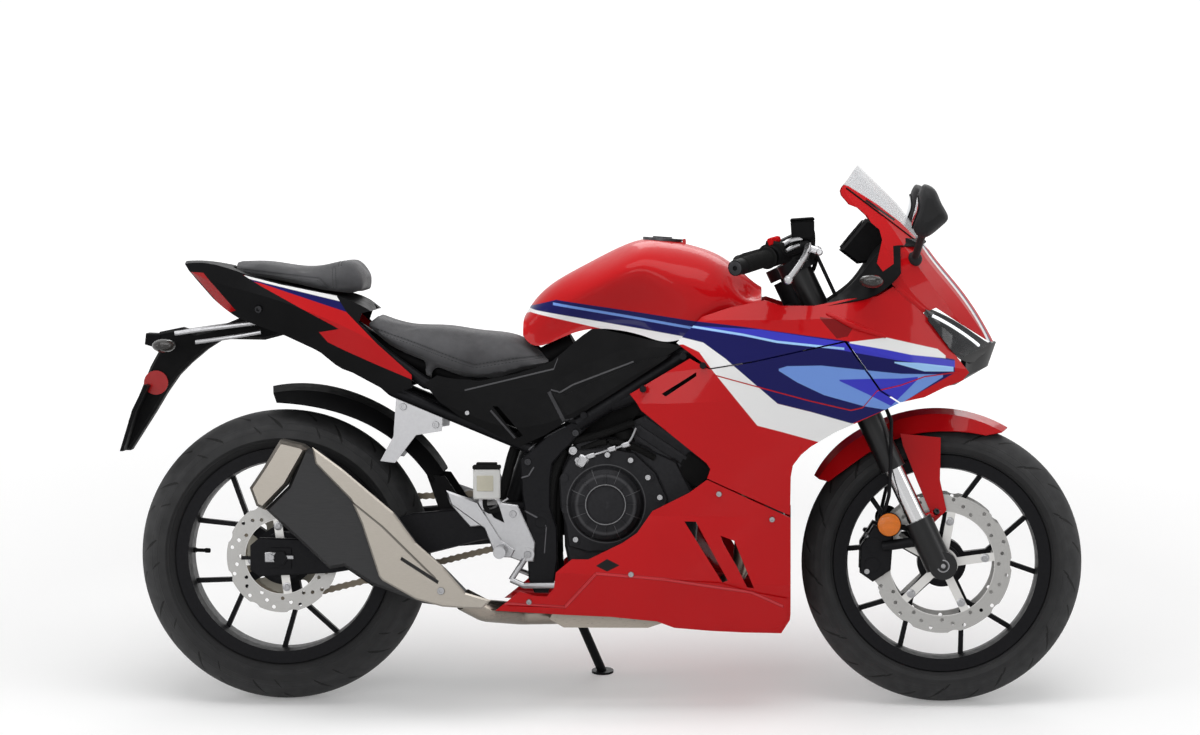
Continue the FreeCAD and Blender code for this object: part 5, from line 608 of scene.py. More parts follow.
def pipe_finish():
    """Stainless pipes, bronzed by heat towards the cylinder head."""
    made = Shader("pipe_finish", srgb(150, 140, 128), 0.3, 1.0)
    x, _, z, _ = made.shares()
    heat = made.math("MULTIPLY", made.ramp(z, 16, 40), made.ramp(x, 56, 66))
    lines = made.noise(30, 4, (3, 3, 20))
    cool = made.mix(lines, srgb(128, 122, 114), srgb(158, 150, 140))
    made.color(made.mix(heat, cool, srgb(120, 86, 56)))
    made.rough(made.ramp(lines, 0.3, 0.7, 0.26, 0.4))
    made.bump(lines, 0.00003, 0.5)
    return made.material


def core_finish():
    """Radiator core of fine upright tubes and folded fins."""
    made = Shader("core_finish", srgb(30, 30, 31), 0.5, 0.6, Specular_IOR_Level=0.3)
    _, y, z, _ = made.shares()
    tubes = made.math("FRACT", made.math("MULTIPLY", y, 1.6))
    fins = made.math("FRACT", made.math("MULTIPLY", z, 5.5))
    grid = made.math("MAXIMUM", made.ramp(tubes, 0.7, 0.8), made.math("MULTIPLY", made.ramp(fins, 0.5, 0.7), 0.5))
    made.color(made.mix(grid, srgb(18, 18, 19), srgb(58, 58, 60)))
    made.bump(grid, 0.0012, 1.0)
    made.rough(made.ramp(made.noise(60, 3), 0.3, 0.7, 0.44, 0.58))
    return made.material


front_share = (FRONT_AXLE.x / SHARE, FRONT_AXLE.z / SHARE)
rear_share = (0.0, REAR_AXLE_UP / SHARE)
# Tyres: outer radius, crown radius and how often the tread repeats. Discs: radius where the rubbed band starts
TREAD_PITCHES = 13
FRONT_TYRE = (299.9 / MM_PER_SHARE, 61 / MM_PER_SHARE, TREAD_PITCHES)
REAR_TYRE = (311.9 / MM_PER_SHARE, 84 / MM_PER_SHARE, TREAD_PITCHES)
FRONT_RUB = 112 / MM_PER_SHARE
REAR_RUB = 81 / MM_PER_SHARE
FRONT_SLASHES = [(0.0, (0.0, 0.5), (3.4, 3.4), 0.2), (0.5, (0.4, 2.2), (2.9, 4.6), 0.2),
                 (0.25, (0.2, 4.2), (1.4, 5.3), 0.14)]
REAR_SLASHES = [(0.0, (0.0, 1.0), (-3.8, 4.6), 0.22), (0.5, (0.0, 2.8), (-2.8, 6.0), 0.22),
                (0.28, (0.0, 5.0), (-1.2, 6.6), 0.15)]

trim = plastic("trim_plastic", BLACK, 0.42).material
dark_trim = plastic("dark_trim", srgb(14, 14, 15), 0.55).material
black_metal = cast("black_metal", srgb(25, 25, 27), 0.42, 0.3).material
engine_metal = cast("engine_metal", srgb(42, 42, 44), 0.46, 0.4).material
silver_cast = cast("silver_cast", srgb(158, 158, 160), 0.34, 0.95, 0.03).material
steel = metal("fastener_steel", srgb(150, 150, 152), 0.3, scale=90).material
black_steel = metal("black_steel", srgb(52, 52, 54), 0.4, scale=90).material
rubber = plastic("black_rubber", srgb(24, 24, 24), 0.7, 500, 0.0001).material
red = red_paint()

DRESS = {
    "main_frame": frame_finish(), "engine": engine_metal, "engine_covers": clutch_finish(), "radiator": core_finish(),
    "fuel_tank": tank_paint(), "tank_lid": metal("lid_metal", srgb(70, 70, 72), 0.4).material,
    "rider_seat": dark_trim, "pillion_seat": dark_trim, "tail_cowl": trim, "tail_panels": tail_paint(),
    "tail_lenses": clear("red_lens", srgb(165, 8, 12), 0.15, 0.95).material,
    "rear_fender": dark_trim, "turn_signals": dark_trim, "side_covers": cover_finish(), "nose_cowl": nose_paint(),
    "windscreen": clear("screen_clear", srgb(205, 208, 212), 0.03, 0.3).material,
    "headlamp": lamp_lens(), "mirrors": plastic("mirror_plastic", srgb(44, 44, 45), 0.46).material,
    "side_cowls": cowl_paint(), "lower_cowl": belly_paint(), "inner_cowl": dark_trim, "dash": dark_trim,
    "exhaust_pipe": pipe_finish(), "muffler": muffler_finish(), "muffler_guard": guard_finish(),
    "swingarm": black_metal,
    "chain": metal("chain_steel", srgb(120, 112, 100), 0.38).material, "hugger": dark_trim,
    "rider_steps": silver_cast, "pillion_steps": silver_cast, "rear_shock": black_metal, "rear_brake": black_metal,
    "side_stand": black_metal, "fork_legs": fork_finish(), "triple_clamps": black_metal, "handlebars": dark_trim,
    "front_fender": red, "front_calipers": black_metal, "front_rim": black_metal,
    "front_tyre": tyre_rubber("front_rubber", front_share, *FRONT_TYRE, FRONT_SLASHES),
    "front_discs": ground_steel("front_disc_steel", front_share, srgb(160, 159, 157), FRONT_RUB),
    "rear_rim": black_metal,
    "rear_tyre": tyre_rubber("rear_rubber", rear_share, *REAR_TYRE, REAR_SLASHES),
    "rear_disc": ground_steel("rear_disc_steel", rear_share, srgb(160, 159, 157), REAR_RUB),
    "rear_sprocket": metal("sprocket_steel", srgb(140, 136, 126), 0.36).material,
}
for node_name, material in DRESS.items():
    mesh = nodes[node_name].data
    mesh.materials.clear()
    mesh.materials.append(material)


# ---------------------------------------------------------------- pieces
RIGHT = -1
LEFT = 1
BOTH = (RIGHT, LEFT)
# Metres from the middle at which a sideways line of sight starts
BESIDE = 0.6


def tree_of(mesh):
    shape = bmesh.new()
    shape.from_mesh(mesh)
    tree = BVHTree.FromBMesh(shape)
    shape.free()
    return tree


@cache
def surface_of(node):
    return tree_of(nodes[node].data)


def sideways(side):
    return TURN @ Vector((0, side, 0))


def seen(node, x_share, z_share, side):
    """Where a sideways line of sight first meets a node, and the way the surface faces there."""
    hit, normal, _, _ = surface_of(node).ray_cast(at(x_share, z_share, side * BESIDE), -sideways(side))
    return hit, normal


def seen_from(node, start, aim):
    hit, normal, _, _ = surface_of(node).ray_cast(start, (aim - start).normalized())
    return hit, normal


def ring_points(place, axis, radius, height, count, flats):
    """Points of a circle, or of a shape with flat sides, round an axis."""
    side = (TURN @ Vector((1, 0, 0))).cross(axis)
    side = (side if side.length > 0.1 else axis.orthogonal()).normalized()
    up = axis.cross(side)
    points = []
    for k in range(count):
        a = math.tau * k / count
        reach = radius
        if flats:
            sector = math.pi / flats
            reach *= math.cos(sector) / math.cos(a % (2 * sector) - sector)
        points.append(place + axis * height + (side * math.cos(a) + up * math.sin(a)) * reach)
    return points


def strip(shape, before, after, closed=True):
    """Faces between two rows of corners."""
    pairs = list(zip(before, after))
    if closed:
        pairs.append(pairs[0])
    for (a, b), (c, d) in zip(pairs, pairs[1:]):
        shape.faces.new((a, c, d, b))


def spun(shape, place, axis, rings, count=24):
    """Closed form about an axis, through rings of radius, height and number of flats."""
    before = None
    for radius, height, flats in rings:
        row = [shape.verts.new(p) for p in ring_points(place, axis, radius, height, count, flats)]
        if before:
            strip(shape, before, row)
        else:
            shape.faces.new(row[::-1])
        before = row
    shape.faces.new(before)


def piece(name, shape, material, body, crease=35):
    """New piece from mesh code, smooth but for its creases, riding on a body."""
    bmesh.ops.recalc_face_normals(shape, faces=shape.faces)
    mesh = bpy.data.meshes.new(name)
    shape.to_mesh(mesh)
    shape.free()
    mesh.materials.append(material)
    mesh.polygons.foreach_set("use_smooth", [True] * len(mesh.polygons))
    mesh.set_sharp_from_angle(angle=math.radians(crease))
    made = bpy.data.objects.new(name, mesh)
    bpy.context.scene.collection.objects.link(made)
    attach(made, body)
    return made


def screw(shape, place, axis, radius, height):
    """Round-edged cap screw with a six-sided socket."""
    spun(shape, place, axis, [(radius, -0.001, 0), (radius, height * 0.75, 0), (radius * 0.9, height, 0),
                              (radius * 0.56, height, 6), (radius * 0.52, height * 0.35, 6)])


# Fasteners by node: body, finish, head radius in mm, sides, places
FASTENERS = [
    ("engine_covers", "chassis", "steel", 6.2, (RIGHT,),
     [(42.1, 34.2), (45.0, 37.1), (49.5, 37.9), (53.0, 37.1), (55.6, 34.5), (57.4, 31.5), (42.5, 29.5), (44.7, 25.1),
      (56.8, 27.0), (54.0, 24.2)]),
    ("main_frame", "chassis", "black_steel", 7.5, BOTH, [(37.5, 36.8), (39.6, 27.6), (44.7, 41.2)]),
    ("lower_cowl", "chassis", "steel", 6.0, BOTH, [(53.2, 20.2), (66.4, 32.4), (74.3, 28.6), (37.8, 15.9)]),
    ("tail_cowl", "chassis", "black_steel", 8.0, BOTH, [(-3.2, 59.8)]),
    ("side_covers", "chassis", "steel", 5.0, BOTH, [(28.4, 44.2)]),
    ("muffler_guard", "chassis", "steel", 8.0, (RIGHT,), [(24.8, 17.8)]),
    ("rider_steps", "chassis", "steel", 7.5, BOTH, [(37.5, 22.9), (35.3, 29.0)]),
    ("pillion_steps", "chassis", "steel", 7.5, BOTH, [(18.7, 45.1), (23.6, 42.4)]),
    ("front_fender", "fork", "black_steel", 7.0, BOTH, [(99.0, 29.2)]),
    ("front_calipers", "fork", "steel", 6.0, BOTH, [(88.6, 25.6), (88.6, 20.2)]),
]
FINISHES = {"steel": steel, "black_steel": black_steel}
MM_PER_METRE = 1000
SCREW_HEIGHT = 0.7


def fasteners():
    for node, body, finish, radius, sides, places in FASTENERS:
        shape = bmesh.new()
        for side in sides:
            for x, z in places:
                hit, normal = seen(node, x, z, side)
                if hit:
                    screw(shape, hit, normal, radius / MM_PER_METRE, radius * SCREW_HEIGHT / MM_PER_METRE)
        piece(node + "_screws", shape, FINISHES[finish], body)


def wheel_screws(name, node, body, centre, radius, turn, count, sides, head):
    """Screws in a circle round a wheel's axle."""
    shape = bmesh.new()
    for side in sides:
        for k in range(count):
            a = math.radians(turn + 360 * k / count)
            hit, normal = seen(node, centre[0] + math.cos(a) * radius / MM_PER_SHARE,
                               centre[1] + math.sin(a) * radius / MM_PER_SHARE, side)
            if hit:
                spun(shape, hit, normal, [(head * 1.5, -0.0005, 0), (head * 1.5, 0.0012, 0), (head * 1.3, 0.0016, 0),
                                          (head, 0.0018, 0), (head, 0.0045, 0), (head * 0.85, 0.0052, 0),
                                          (head * 0.5, 0.0052, 6), (head * 0.46, 0.003, 6)])
    piece(name, shape, steel, body)


def valve_stem(name, node, body, centre, turn):
    """Tyre valve that leans inward from the rim's well."""
    a = math.radians(turn)
    direction = TURN @ Vector((math.cos(a), 0, math.sin(a)))
    axle = at(*centre)
    shape = bmesh.new()
    hit, _ = seen_from(node, axle + direction * 0.16, axle + direction * 0.3)
    if hit:
        spun(shape, hit, -direction, [(0.006, -0.002, 0), (0.0058, 0.004, 0), (0.004, 0.008, 0), (0.004, 0.024, 0),
                                      (0.0052, 0.025, 0), (0.0052, 0.034, 0), (0.004, 0.036, 0)], 16)
    piece(name, shape, rubber, body)


def tube(shape, points, radii, count=12):
    """Closed round run through points, with a radius at each."""
    rows = []
    for k, (point, radius) in enumerate(zip(points, radii)):
        along = points[min(k + 1, len(points) - 1)] - points[max(k - 1, 0)]
        rows.append([shape.verts.new(p) for p in ring_points(point, along.normalized(), radius, 0, count, 0)])
    for before, after in zip(rows, rows[1:]):
        strip(shape, before, after)
    shape.faces.new(rows[0][::-1])
    shape.faces.new(rows[-1])


def resampled(points, step):
    """Points at even steps along straight runs."""
    found = [points[0]]
    for a, b in zip(points, points[1:]):
        parts = max(1, round((b - a).length / step))
        found += [a.lerp(b, (k + 1) / parts) for k in range(parts)]
    return found


def rounded(points, passes=2):
    """The same line with its corners cut off a few times."""
    for _ in range(passes):
        line = [points[0]]
        for a, b in zip(points, points[1:]):
            line += [a.lerp(b, 0.25), a.lerp(b, 0.75)]
        points = line + [points[-1]]
    return points


def bead(shape, line, radius, count, swell=0.0):
    """Round bead through points, thickest in the middle."""
    if len(line) > 2:
        line = rounded(line)
        middle = len(line) / 2
        tube(shape, line, [radius - swell * abs(k - middle) / middle for k in range(len(line))], count)


def seen_line(node, places, side, lift=0.0):
    """Points of a side-view line on a node, lifted off its surface."""
    met = [seen(node, x, z, side) for x, z in places]
    return [hit + normal * lift for hit, normal in met if hit]


def run(shape, places, radius, count=10, side=1):
    """Hose or cable through places of forward share, upward share and metres sideways."""
    line = rounded([at(x, z, y * side) for x, z, y in places], 3)
    tube(shape, line, [radius] * len(line), count)


def runs(shape, table, side, count=10):
    """Hoses or rails by radius and places, on one side."""
    for radius, places in table:
        run(shape, places, radius, count, side)


# ---- seats
def evaluated(made):
    graph = bpy.context.evaluated_depsgraph_get()
    mesh = bpy.data.meshes.new_from_object(made.evaluated_get(graph))
    made.modifiers.clear()
    made.data = mesh


def inflated(made, cap):
    """Blow the closed cover up as cloth, with each point held within the cap of where it was."""
    rest = [v.co.copy() for v in made.data.vertices]
    cloth = made.modifiers.new("cloth", "CLOTH")
    cloth.settings.quality = 5
    cloth.settings.mass = 0.25
    cloth.settings.tension_stiffness = 18
    cloth.settings.compression_stiffness = 18
    cloth.settings.bending_stiffness = 1.2
    cloth.settings.use_pressure = True
    cloth.settings.uniform_pressure_force = 4.0
    cloth.settings.effector_weights.gravity = 0
    scene = bpy.context.scene
    for step in range(1, 21):
        scene.frame_set(step)
    evaluated(made)
    scene.frame_set(1)
    for vertex, place in zip(made.data.vertices, rest):
        moved = vertex.co - place
        if moved.length > cap:
            vertex.co = place + moved.normalized() * cap


def pressed(made, paths, depth, reach):
    """Sewn channels: points near the paths go inward."""
    spots = [p for path in paths for p in resampled(path, 0.002)]
    near = KDTree(len(spots))
    for k, spot in enumerate(spots):
        near.insert(spot, k)
    near.balance()
    moves = []
    for vertex in made.data.vertices:
        _, _, gap = near.find(vertex.co)
        if gap < reach:
            moves.append((vertex.index, vertex.normal.copy(), 0.5 + 0.5 * math.cos(math.pi * gap / reach)))
    for index, normal, share in moves:
        made.data.vertices[index].co -= normal * depth * share


def stitches(name, cover, paths, offset, body):
    """Thread laid in short stitches beside each seam, on both sides of it."""
    shape = bmesh.new()
    tree = tree_of(cover.data)
    for path in paths:
        line = resampled(path, 0.0055)
        for a, b in zip(line, line[1:]):
            middle = (a + b) / 2
            _, normal, _, _ = tree.find_nearest(middle)
            across = (b - a).cross(normal).normalized()
            for side in (-1, 1):
                ends = []
                for t in (0.18, 0.5, 0.82):
                    spot, up, _, _ = tree.find_nearest(a.lerp(b, t) + across * offset * side)
                    ends.append(spot + up * (0.0004 if t == 0.5 else -0.0002))
                tube(shape, ends, (0.0003, 0.00055, 0.0003), 6)
    return piece(name, shape, thread, body)


def cushion(node, inward, cap, seams, body="chassis"):
    """Padded cover in the CAD solid's place: remeshed, blown up, and sewn along its seams."""
    made = bpy.data.objects.new(node + "_cover", nodes[node].data.copy())
    bpy.context.scene.collection.objects.link(made)
    made.data.materials.clear()
    voxels = made.modifiers.new("voxels", "REMESH")
    voxels.mode = "VOXEL"
    voxels.voxel_size = 0.006
    evaluated(made)
    smoothing = made.modifiers.new("smoothing", "SMOOTH")
    smoothing.factor = 0.5
    smoothing.iterations = 4
    evaluated(made)
    for vertex, normal in [(v, v.normal.copy()) for v in made.data.vertices]:
        vertex.co -= normal * inward
    inflated(made, cap)
    rounding = made.modifiers.new("rounding", "SUBSURF")
    rounding.levels = 1
    rounding.render_levels = 1
    evaluated(made)
    tree = tree_of(made.data)
    paths = []
    for seam in seams:
        path = []
        for start, aim in seam:
            spot, _, _, _ = tree.ray_cast(start, (aim - start).normalized())
            if spot:
                path.append(spot)
        if len(path) > 1:
            paths.append(path)
    pressed(made, paths, 0.0016, 0.006)
    made.data.materials.append(seat_cover(node + "_vinyl"))
    made.data.polygons.foreach_set("use_smooth", [True] * len(made.data.polygons))
    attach(made, body)
    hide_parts(node)
    stitches(node + "_stitches", made, paths, 0.0032, body)


def side_seam(points, side):
    """Sight lines from the side onto a line of the side view."""
    dense = []
    for (ax, az), (bx, bz) in zip(points, points[1:]):
        dense += [(ax + (bx - ax) * k / 12, az + (bz - az) * k / 12) for k in range(12)]
    dense.append(points[-1])
    return [(at(x, z, side * 0.5), at(x, z, 0)) for x, z in dense]


def top_seam(x_share, half, z_share=80, lean=0.0):
    """Sight lines from above onto a line across the seat."""
    return [(at(x_share, z_share, y * 0.01), at(x_share + lean, 0, y * 0.01))
            for y in range(-round(half * 100), round(half * 100) + 1)]


def seats():
    rider_side = [(14.5, 56.6), (20.5, 54.5), (27.0, 52.0), (29.5, 51.2), (36.0, 52.2), (39.6, 52.6)]
    rider_seams = [side_seam(rider_side, side) for side in BOTH]
    cushion("rider_seat", 0.004, 0.006, rider_seams)
    pillion_side = [(-6.6, 65.6), (5.8, 64.3), (7.2, 62.9)]
    pillion_front = [(8.0, 66.0), (8.3, 62.9)]
    pillion_seams = [side_seam(pillion_side, side) for side in BOTH]
    pillion_seams += [side_seam(pillion_front, side) for side in BOTH]
    pillion_seams.append(top_seam(8.9, 0.09))
    cushion("pillion_seat", 0.003, 0.004, pillion_seams)


# ---- lamps, mirrors and instruments
def sheet_grid(shape, rows):
    """Faces over rows of points."""
    corners = [[shape.verts.new(p) for p in row] for row in rows]
    for before, after in zip(corners, corners[1:]):
        strip(shape, before, after, closed=False)


def mirror_glass():
    """Silvered oval on the back of each mirror head, held by a thin rim."""
    glass = bmesh.new()
    rim = bmesh.new()
    back = TURN @ Vector((-1, 0, 0))
    for side in BOTH:
        rows = []
        for reach in (0.05, 0.35, 0.65, 0.9, 1.0):
            row = []
            for k in range(40):
                a = math.tau * k / 40
                y = side * (0.312 + math.cos(a) * 0.046 * reach)
                z = 74.6 + math.sin(a) * 2.45 * reach
                hit, _ = seen_from("mirrors", at(80, z, y), at(99, z, y))
                row.append(hit)
            rows.append(row)
        if any(p is None for row in rows for p in row):
            continue
        flat = [[p + back * 0.0012 for p in row] for row in rows]
        corners = [[glass.verts.new(p) for p in row] for row in flat]
        for before, after in zip(corners, corners[1:]):
            strip(glass, before, after)
        glass.faces.new(corners[0])
        edge = [p + back * 0.0008 for p in rows[-1]]
        tube(rim, edge + edge[:2], [0.0016] * (len(edge) + 2), 8)
    piece("mirror_glass", glass, silvering, "chassis")
    piece("mirror_rims", rim, rubber, "chassis")


def instrument():
    """Glossy display with a raised frame on the rider's side of the dash."""
    low, high = Vector((84.75, 69.05)), Vector((88.0, 72.95))
    across = 0.068
    out = TURN @ Vector((-(high.y - low.y), 0, high.x - low.x)).normalized()

    def corner(u, v, lift):
        spot = low.lerp(high, v)
        return at(spot.x, spot.y, u * across) + out * lift

    frame_shape = bmesh.new()
    outer = rounded([corner(u, v, 0.001) for u, v in ((-1, 0), (1, 0), (1, 1), (-1, 1), (-1, 0), (1, 0))], 2)
    tube(frame_shape, outer, [0.003] * len(outer), 8)
    piece("display_frame", frame_shape, dark_trim, "chassis")
    glass = bmesh.new()
    rows = [[corner(u / 10, v / 8, 0.0012 + 0.001 * (1 - (u / 10) ** 2)) for u in range(-10, 11)] for v in range(9)]
    sheet_grid(glass, rows)
    piece("display_glass", glass, display, "chassis")


def display_finish():
    """Dark display that shows bars and a dial's ticks."""
    made = Shader("display", srgb(16, 20, 24), 0.12, 0.0, Specular_IOR_Level=0.4)
    x, y, z, _ = made.shares()
    up = made.math("ADD", made.math("MULTIPLY", made.math("SUBTRACT", x, 84.75), 0.64),
                   made.math("MULTIPLY", made.math("SUBTRACT", z, 69.05), 0.768))
    ticks = made.ramp(made.math("FRACT", made.math("MULTIPLY", y, 3.0)), 0.45, 0.55)
    top_row = made.math("MULTIPLY", made.ramp(up, 3.6, 3.65), made.ramp(up, 4.1, 4.15, 1, 0))
    bars = made.math("MULTIPLY", ticks, top_row)
    block = made.math("MULTIPLY", made.ramp(up, 1.2, 1.25), made.ramp(up, 2.8, 2.85, 1, 0))
    middle = made.ramp(made.math("ABSOLUTE", y), 1.3, 1.35, 1, 0)
    lit = made.math("MAXIMUM", bars, made.math("MULTIPLY", block, middle))
    made.color(made.mix(lit, srgb(14, 18, 22), srgb(110, 130, 140)))
    made.bump(made.noise(200, 2), 0.00002, 0.3)
    return made.material


def lamp_inside():
    """Dark bowl behind each headlamp lens with the bright strip along its upper edge."""
    bowl = bmesh.new()
    strip_shape = bmesh.new()
    top = [(98.2, 59.2), (99.8, 58.4), (102.4, 56.8), (104.6, 55.2), (105.3, 54.6)]
    for side in BOTH:
        bead(strip_shape, seen_line("headlamp", [(x, z - 0.25) for x, z in top], side, 0.0008), 0.0034, 8)
    piece("lamp_strips", strip_shape, led, "chassis")
    for side in BOTH:
        for x, z in ((100.6, 55.8), (102.7, 54.2)):
            hit, _ = seen("headlamp", x, z, side)
            if hit:
                spun(bowl, hit - sideways(side) * 0.03, sideways(side) * 0.5 + TURN @ Vector((0.87, 0, 0)),
                     [(0.016, 0, 0), (0.02, 0.012, 0), (0.018, 0.0125, 0), (0.012, 0.004, 0), (0.004, 0.002, 0)])
    piece("lamp_reflectors", bowl, silvering, "chassis")


def signal_lenses():
    """Smoked lens over the outer half of each turn signal."""
    shape = bmesh.new()
    for x, z, y in ((-17.3, 54.3, 0.15), (89.0, 64.2, 0.235)):
        for side in BOTH:
            centre = at(x, z, side * y)
            rows = []
            for place in range(6):
                a = math.radians(12 + 15 * place)
                row = []
                for k in range(32):
                    b = math.tau * k / 32
                    row.append(centre + TURN @ Vector((math.cos(a) * math.cos(b) * 0.0256, side * math.sin(a) * 0.0306,
                                                       math.cos(a) * math.sin(b) * 0.0146)))
                rows.append(row)
            corners = [[shape.verts.new(p) for p in row] for row in rows]
            for before, after in zip(corners, corners[1:]):
                strip(shape, before, after)
            shape.faces.new(corners[-1])
    piece("signal_lenses", shape, smoke, "chassis")


def fork_reflectors():
    """Round orange reflector in a black cup on each side, on a short stay from the fork's casting."""
    cups = bmesh.new()
    lens = bmesh.new()
    for side in BOTH:
        out = sideways(side)
        centre = at(91.9, 27.4, side * 0.112)
        spun(cups, centre, out, [(0.012, -0.012, 0), (0.0262, -0.004, 0), (0.0262, 0.003, 0), (0.0246, 0.0036, 0),
                                 (0.0246, 0.0005, 0)], 40)
        stay = [at(91.9, 27.4, side * 0.104), at(93.6, 27.0, side * 0.1), at(95.6, 26.6, side * 0.098)]
        tube(cups, stay, [0.005, 0.006, 0.007], 10)
        spun(lens, centre, out, [(0.0244, 0.0, 0), (0.0244, 0.0028, 0), (0.0225, 0.0042, 0), (0.012, 0.0052, 0),
                                 (0.004, 0.0055, 0)], 40)
    piece("reflector_cups", cups, dark_trim, "fork")
    piece("reflector_lenses", lens, amber, "fork")


GRIP_RINGS = 26
GRIP_PITCH = 0.0041
GRIP_START = 0.5
# Bar's inner end: up along the steering line, forward square to it, and sideways
BAR_INNER = (1.055, 0.05, 0.123)
BAR_OUTER = Vector((68.9 * SHARE, 0.379, 66.3 * SHARE))


def grips():
    """Ribbed rubber grips with flanges and weighted ends, over the bar."""
    rubber_shape = bmesh.new()
    ends = bmesh.new()
    sine, cosine = math.sin(RAKE), math.cos(RAKE)
    up, forward, y = BAR_INNER
    inner = Vector(((STEERING_FOOT - up * sine + forward * cosine), y, up * cosine + forward * sine))
    for side in BOTH:
        a = TO_WORLD @ Vector((inner.x, inner.y * side, inner.z))
        b = TO_WORLD @ Vector((BAR_OUTER.x, BAR_OUTER.y * side, BAR_OUTER.z))
        along = (b - a).normalized()
        start = (b - a).length * GRIP_START
        rings = [(0.0175, 0, 0), (0.0235, 0.001, 0), (0.0235, 0.004, 0), (0.0178, 0.006, 0)]
        for k in range(GRIP_RINGS):
            t = 0.008 + k * GRIP_PITCH
            rings += [(0.0170, t, 0), (0.0179, t + 0.0012, 0), (0.0179, t + 0.0026, 0), (0.0170, t + 0.0036, 0)]
        spun(rubber_shape, a + along * start, along, rings, 28)
        spun(ends, b - along * 0.002, along, [(0.0155, 0, 0), (0.0158, 0.002, 0), (0.0158, 0.0015, 0),
                                               (0.013, 0.0028, 0), (0.006, 0.003, 6), (0.0055, 0.001, 6)])
    piece("grip_rubbers", rubber_shape, rubber, "fork")
    piece("bar_ends", ends, black_steel, "fork")


LEVER_ROUTE = [(79.6, 69.6, 0.195), (79.4, 68.2, 0.25), (78.2, 66.5, 0.31), (76.7, 64.6, 0.37)]


def levers():
    """Bright blade over each lever, with a ball at its end."""
    shape = bmesh.new()
    for side in BOTH:
        line = rounded([at(x, z, side * y) for x, z, y in LEVER_ROUTE])
        radii = [0.0075 - 0.001 * k / len(line) for k in range(len(line))]
        tube(shape, line, radii, 16)
        end, before = line[-1], line[-2]
        axis = (end - before).normalized()
        spun(shape, end - axis * 0.009, axis,
             [(0.004, 0, 0), (0.0078, 0.003, 0), (0.0095, 0.009, 0), (0.0078, 0.015, 0), (0.004, 0.018, 0)], 20)
    piece("lever_blades", shape, lever_metal, "fork")


def switches():
    """Switch cases with their buttons: the red stop switch on the right."""
    red_shape = bmesh.new()
    dark_shape = bmesh.new()
    block(red_shape, (74.7, 70.35, -0.218), (0.011, 0.008, 0.0065), 0.003, 14, -20)
    block(red_shape, (74.2, 70.05, -0.222), (0.006, 0.01, 0.008), 0.002, 14, -20)
    for x, z, side in ((76.2, 69.6, RIGHT), (75.2, 69.9, LEFT), (76.4, 69.0, LEFT), (75.6, 68.8, LEFT)):
        hit, normal = seen("handlebars", x, z, side)
        if hit:
            spun(dark_shape, hit, normal, [(0.006, -0.002, 4), (0.006, 0.003, 4), (0.0045, 0.005, 4)])
    piece("stop_switch", red_shape, stop_red, "fork")
    piece("bar_buttons", dark_shape, rubber, "fork")


def block(shape, centre, half, bevel, tilt=0.0, yaw=0.0):
    """Box with cut edges, turned in the side view and then about the upright."""
    turn = Matrix.Rotation(math.radians(yaw), 3, "Z") @ Matrix.Rotation(-math.radians(tilt), 3, "Y")
    middle = Vector((centre[0] * SHARE, centre[2], centre[1] * SHARE))
    before = None
    for depth, inset in ((-half[1], bevel), (bevel - half[1], 0), (half[1] - bevel, 0), (half[1], bevel)):
        w, h = half[0] - inset, half[2] - inset
        outline = [(w, h - bevel), (w - bevel, h), (bevel - w, h), (-w, h - bevel), (-w, bevel - h), (bevel - w, -h),
                   (w - bevel, -h), (w, bevel - h)]
        row = [shape.verts.new(TO_WORLD @ (middle + turn @ Vector((u, depth, v)))) for u, v in outline]
        if before:
            strip(shape, before, row)
        else:
            shape.faces.new(row[::-1])
        before = row
    shape.faces.new(before)


def fluid_reservoirs():
    """Brake fluid box with its lid on the right bar, and the white one with a window behind the right step."""
    dark = bmesh.new()
    block(dark, (78.8, 71.8, -0.18), (0.0245, 0.0245, 0.0205), 0.004, 4)
    block(dark, (78.75, 73.3, -0.18), (0.0258, 0.0258, 0.0045), 0.003, 4)
    block(dark, (79.4, 69.9, -0.178), (0.014, 0.014, 0.012), 0.003, 4, -18)
    piece("fluid_box", dark, dark_trim, "fork")
    hit, _ = seen("rear_brake", 31.4, 33.8, RIGHT)
    outer = (TO_BIKE @ hit).y
    white = bmesh.new()
    block(white, (31.4, 33.6, outer + 0.0122), (0.0285, 0.0142, 0.0325), 0.003)
    piece("rear_fluid_box", white, milky, "chassis")
    window = bmesh.new()
    block(window, (31.2, 33.7, outer - 0.0022), (0.0175, 0.0012, 0.0165), 0.0008)
    piece("rear_fluid_window", window, pale_fluid, "chassis")
    cap = bmesh.new()
    block(cap, (31.4, 36.1, outer + 0.0122), (0.0297, 0.0152, 0.0045), 0.002)
    block(cap, (31.4, 36.6, outer + 0.0122), (0.022, 0.0115, 0.003), 0.0015)
    run(cap, [(31.2, 31.6, outer + 0.012), (31.0, 30.3, outer + 0.016), (31.6, 29.2, outer + 0.02),
              (33.2, 29.6, outer + 0.024)], 0.005)
    piece("rear_fluid_cap", cap, rubber, "chassis")


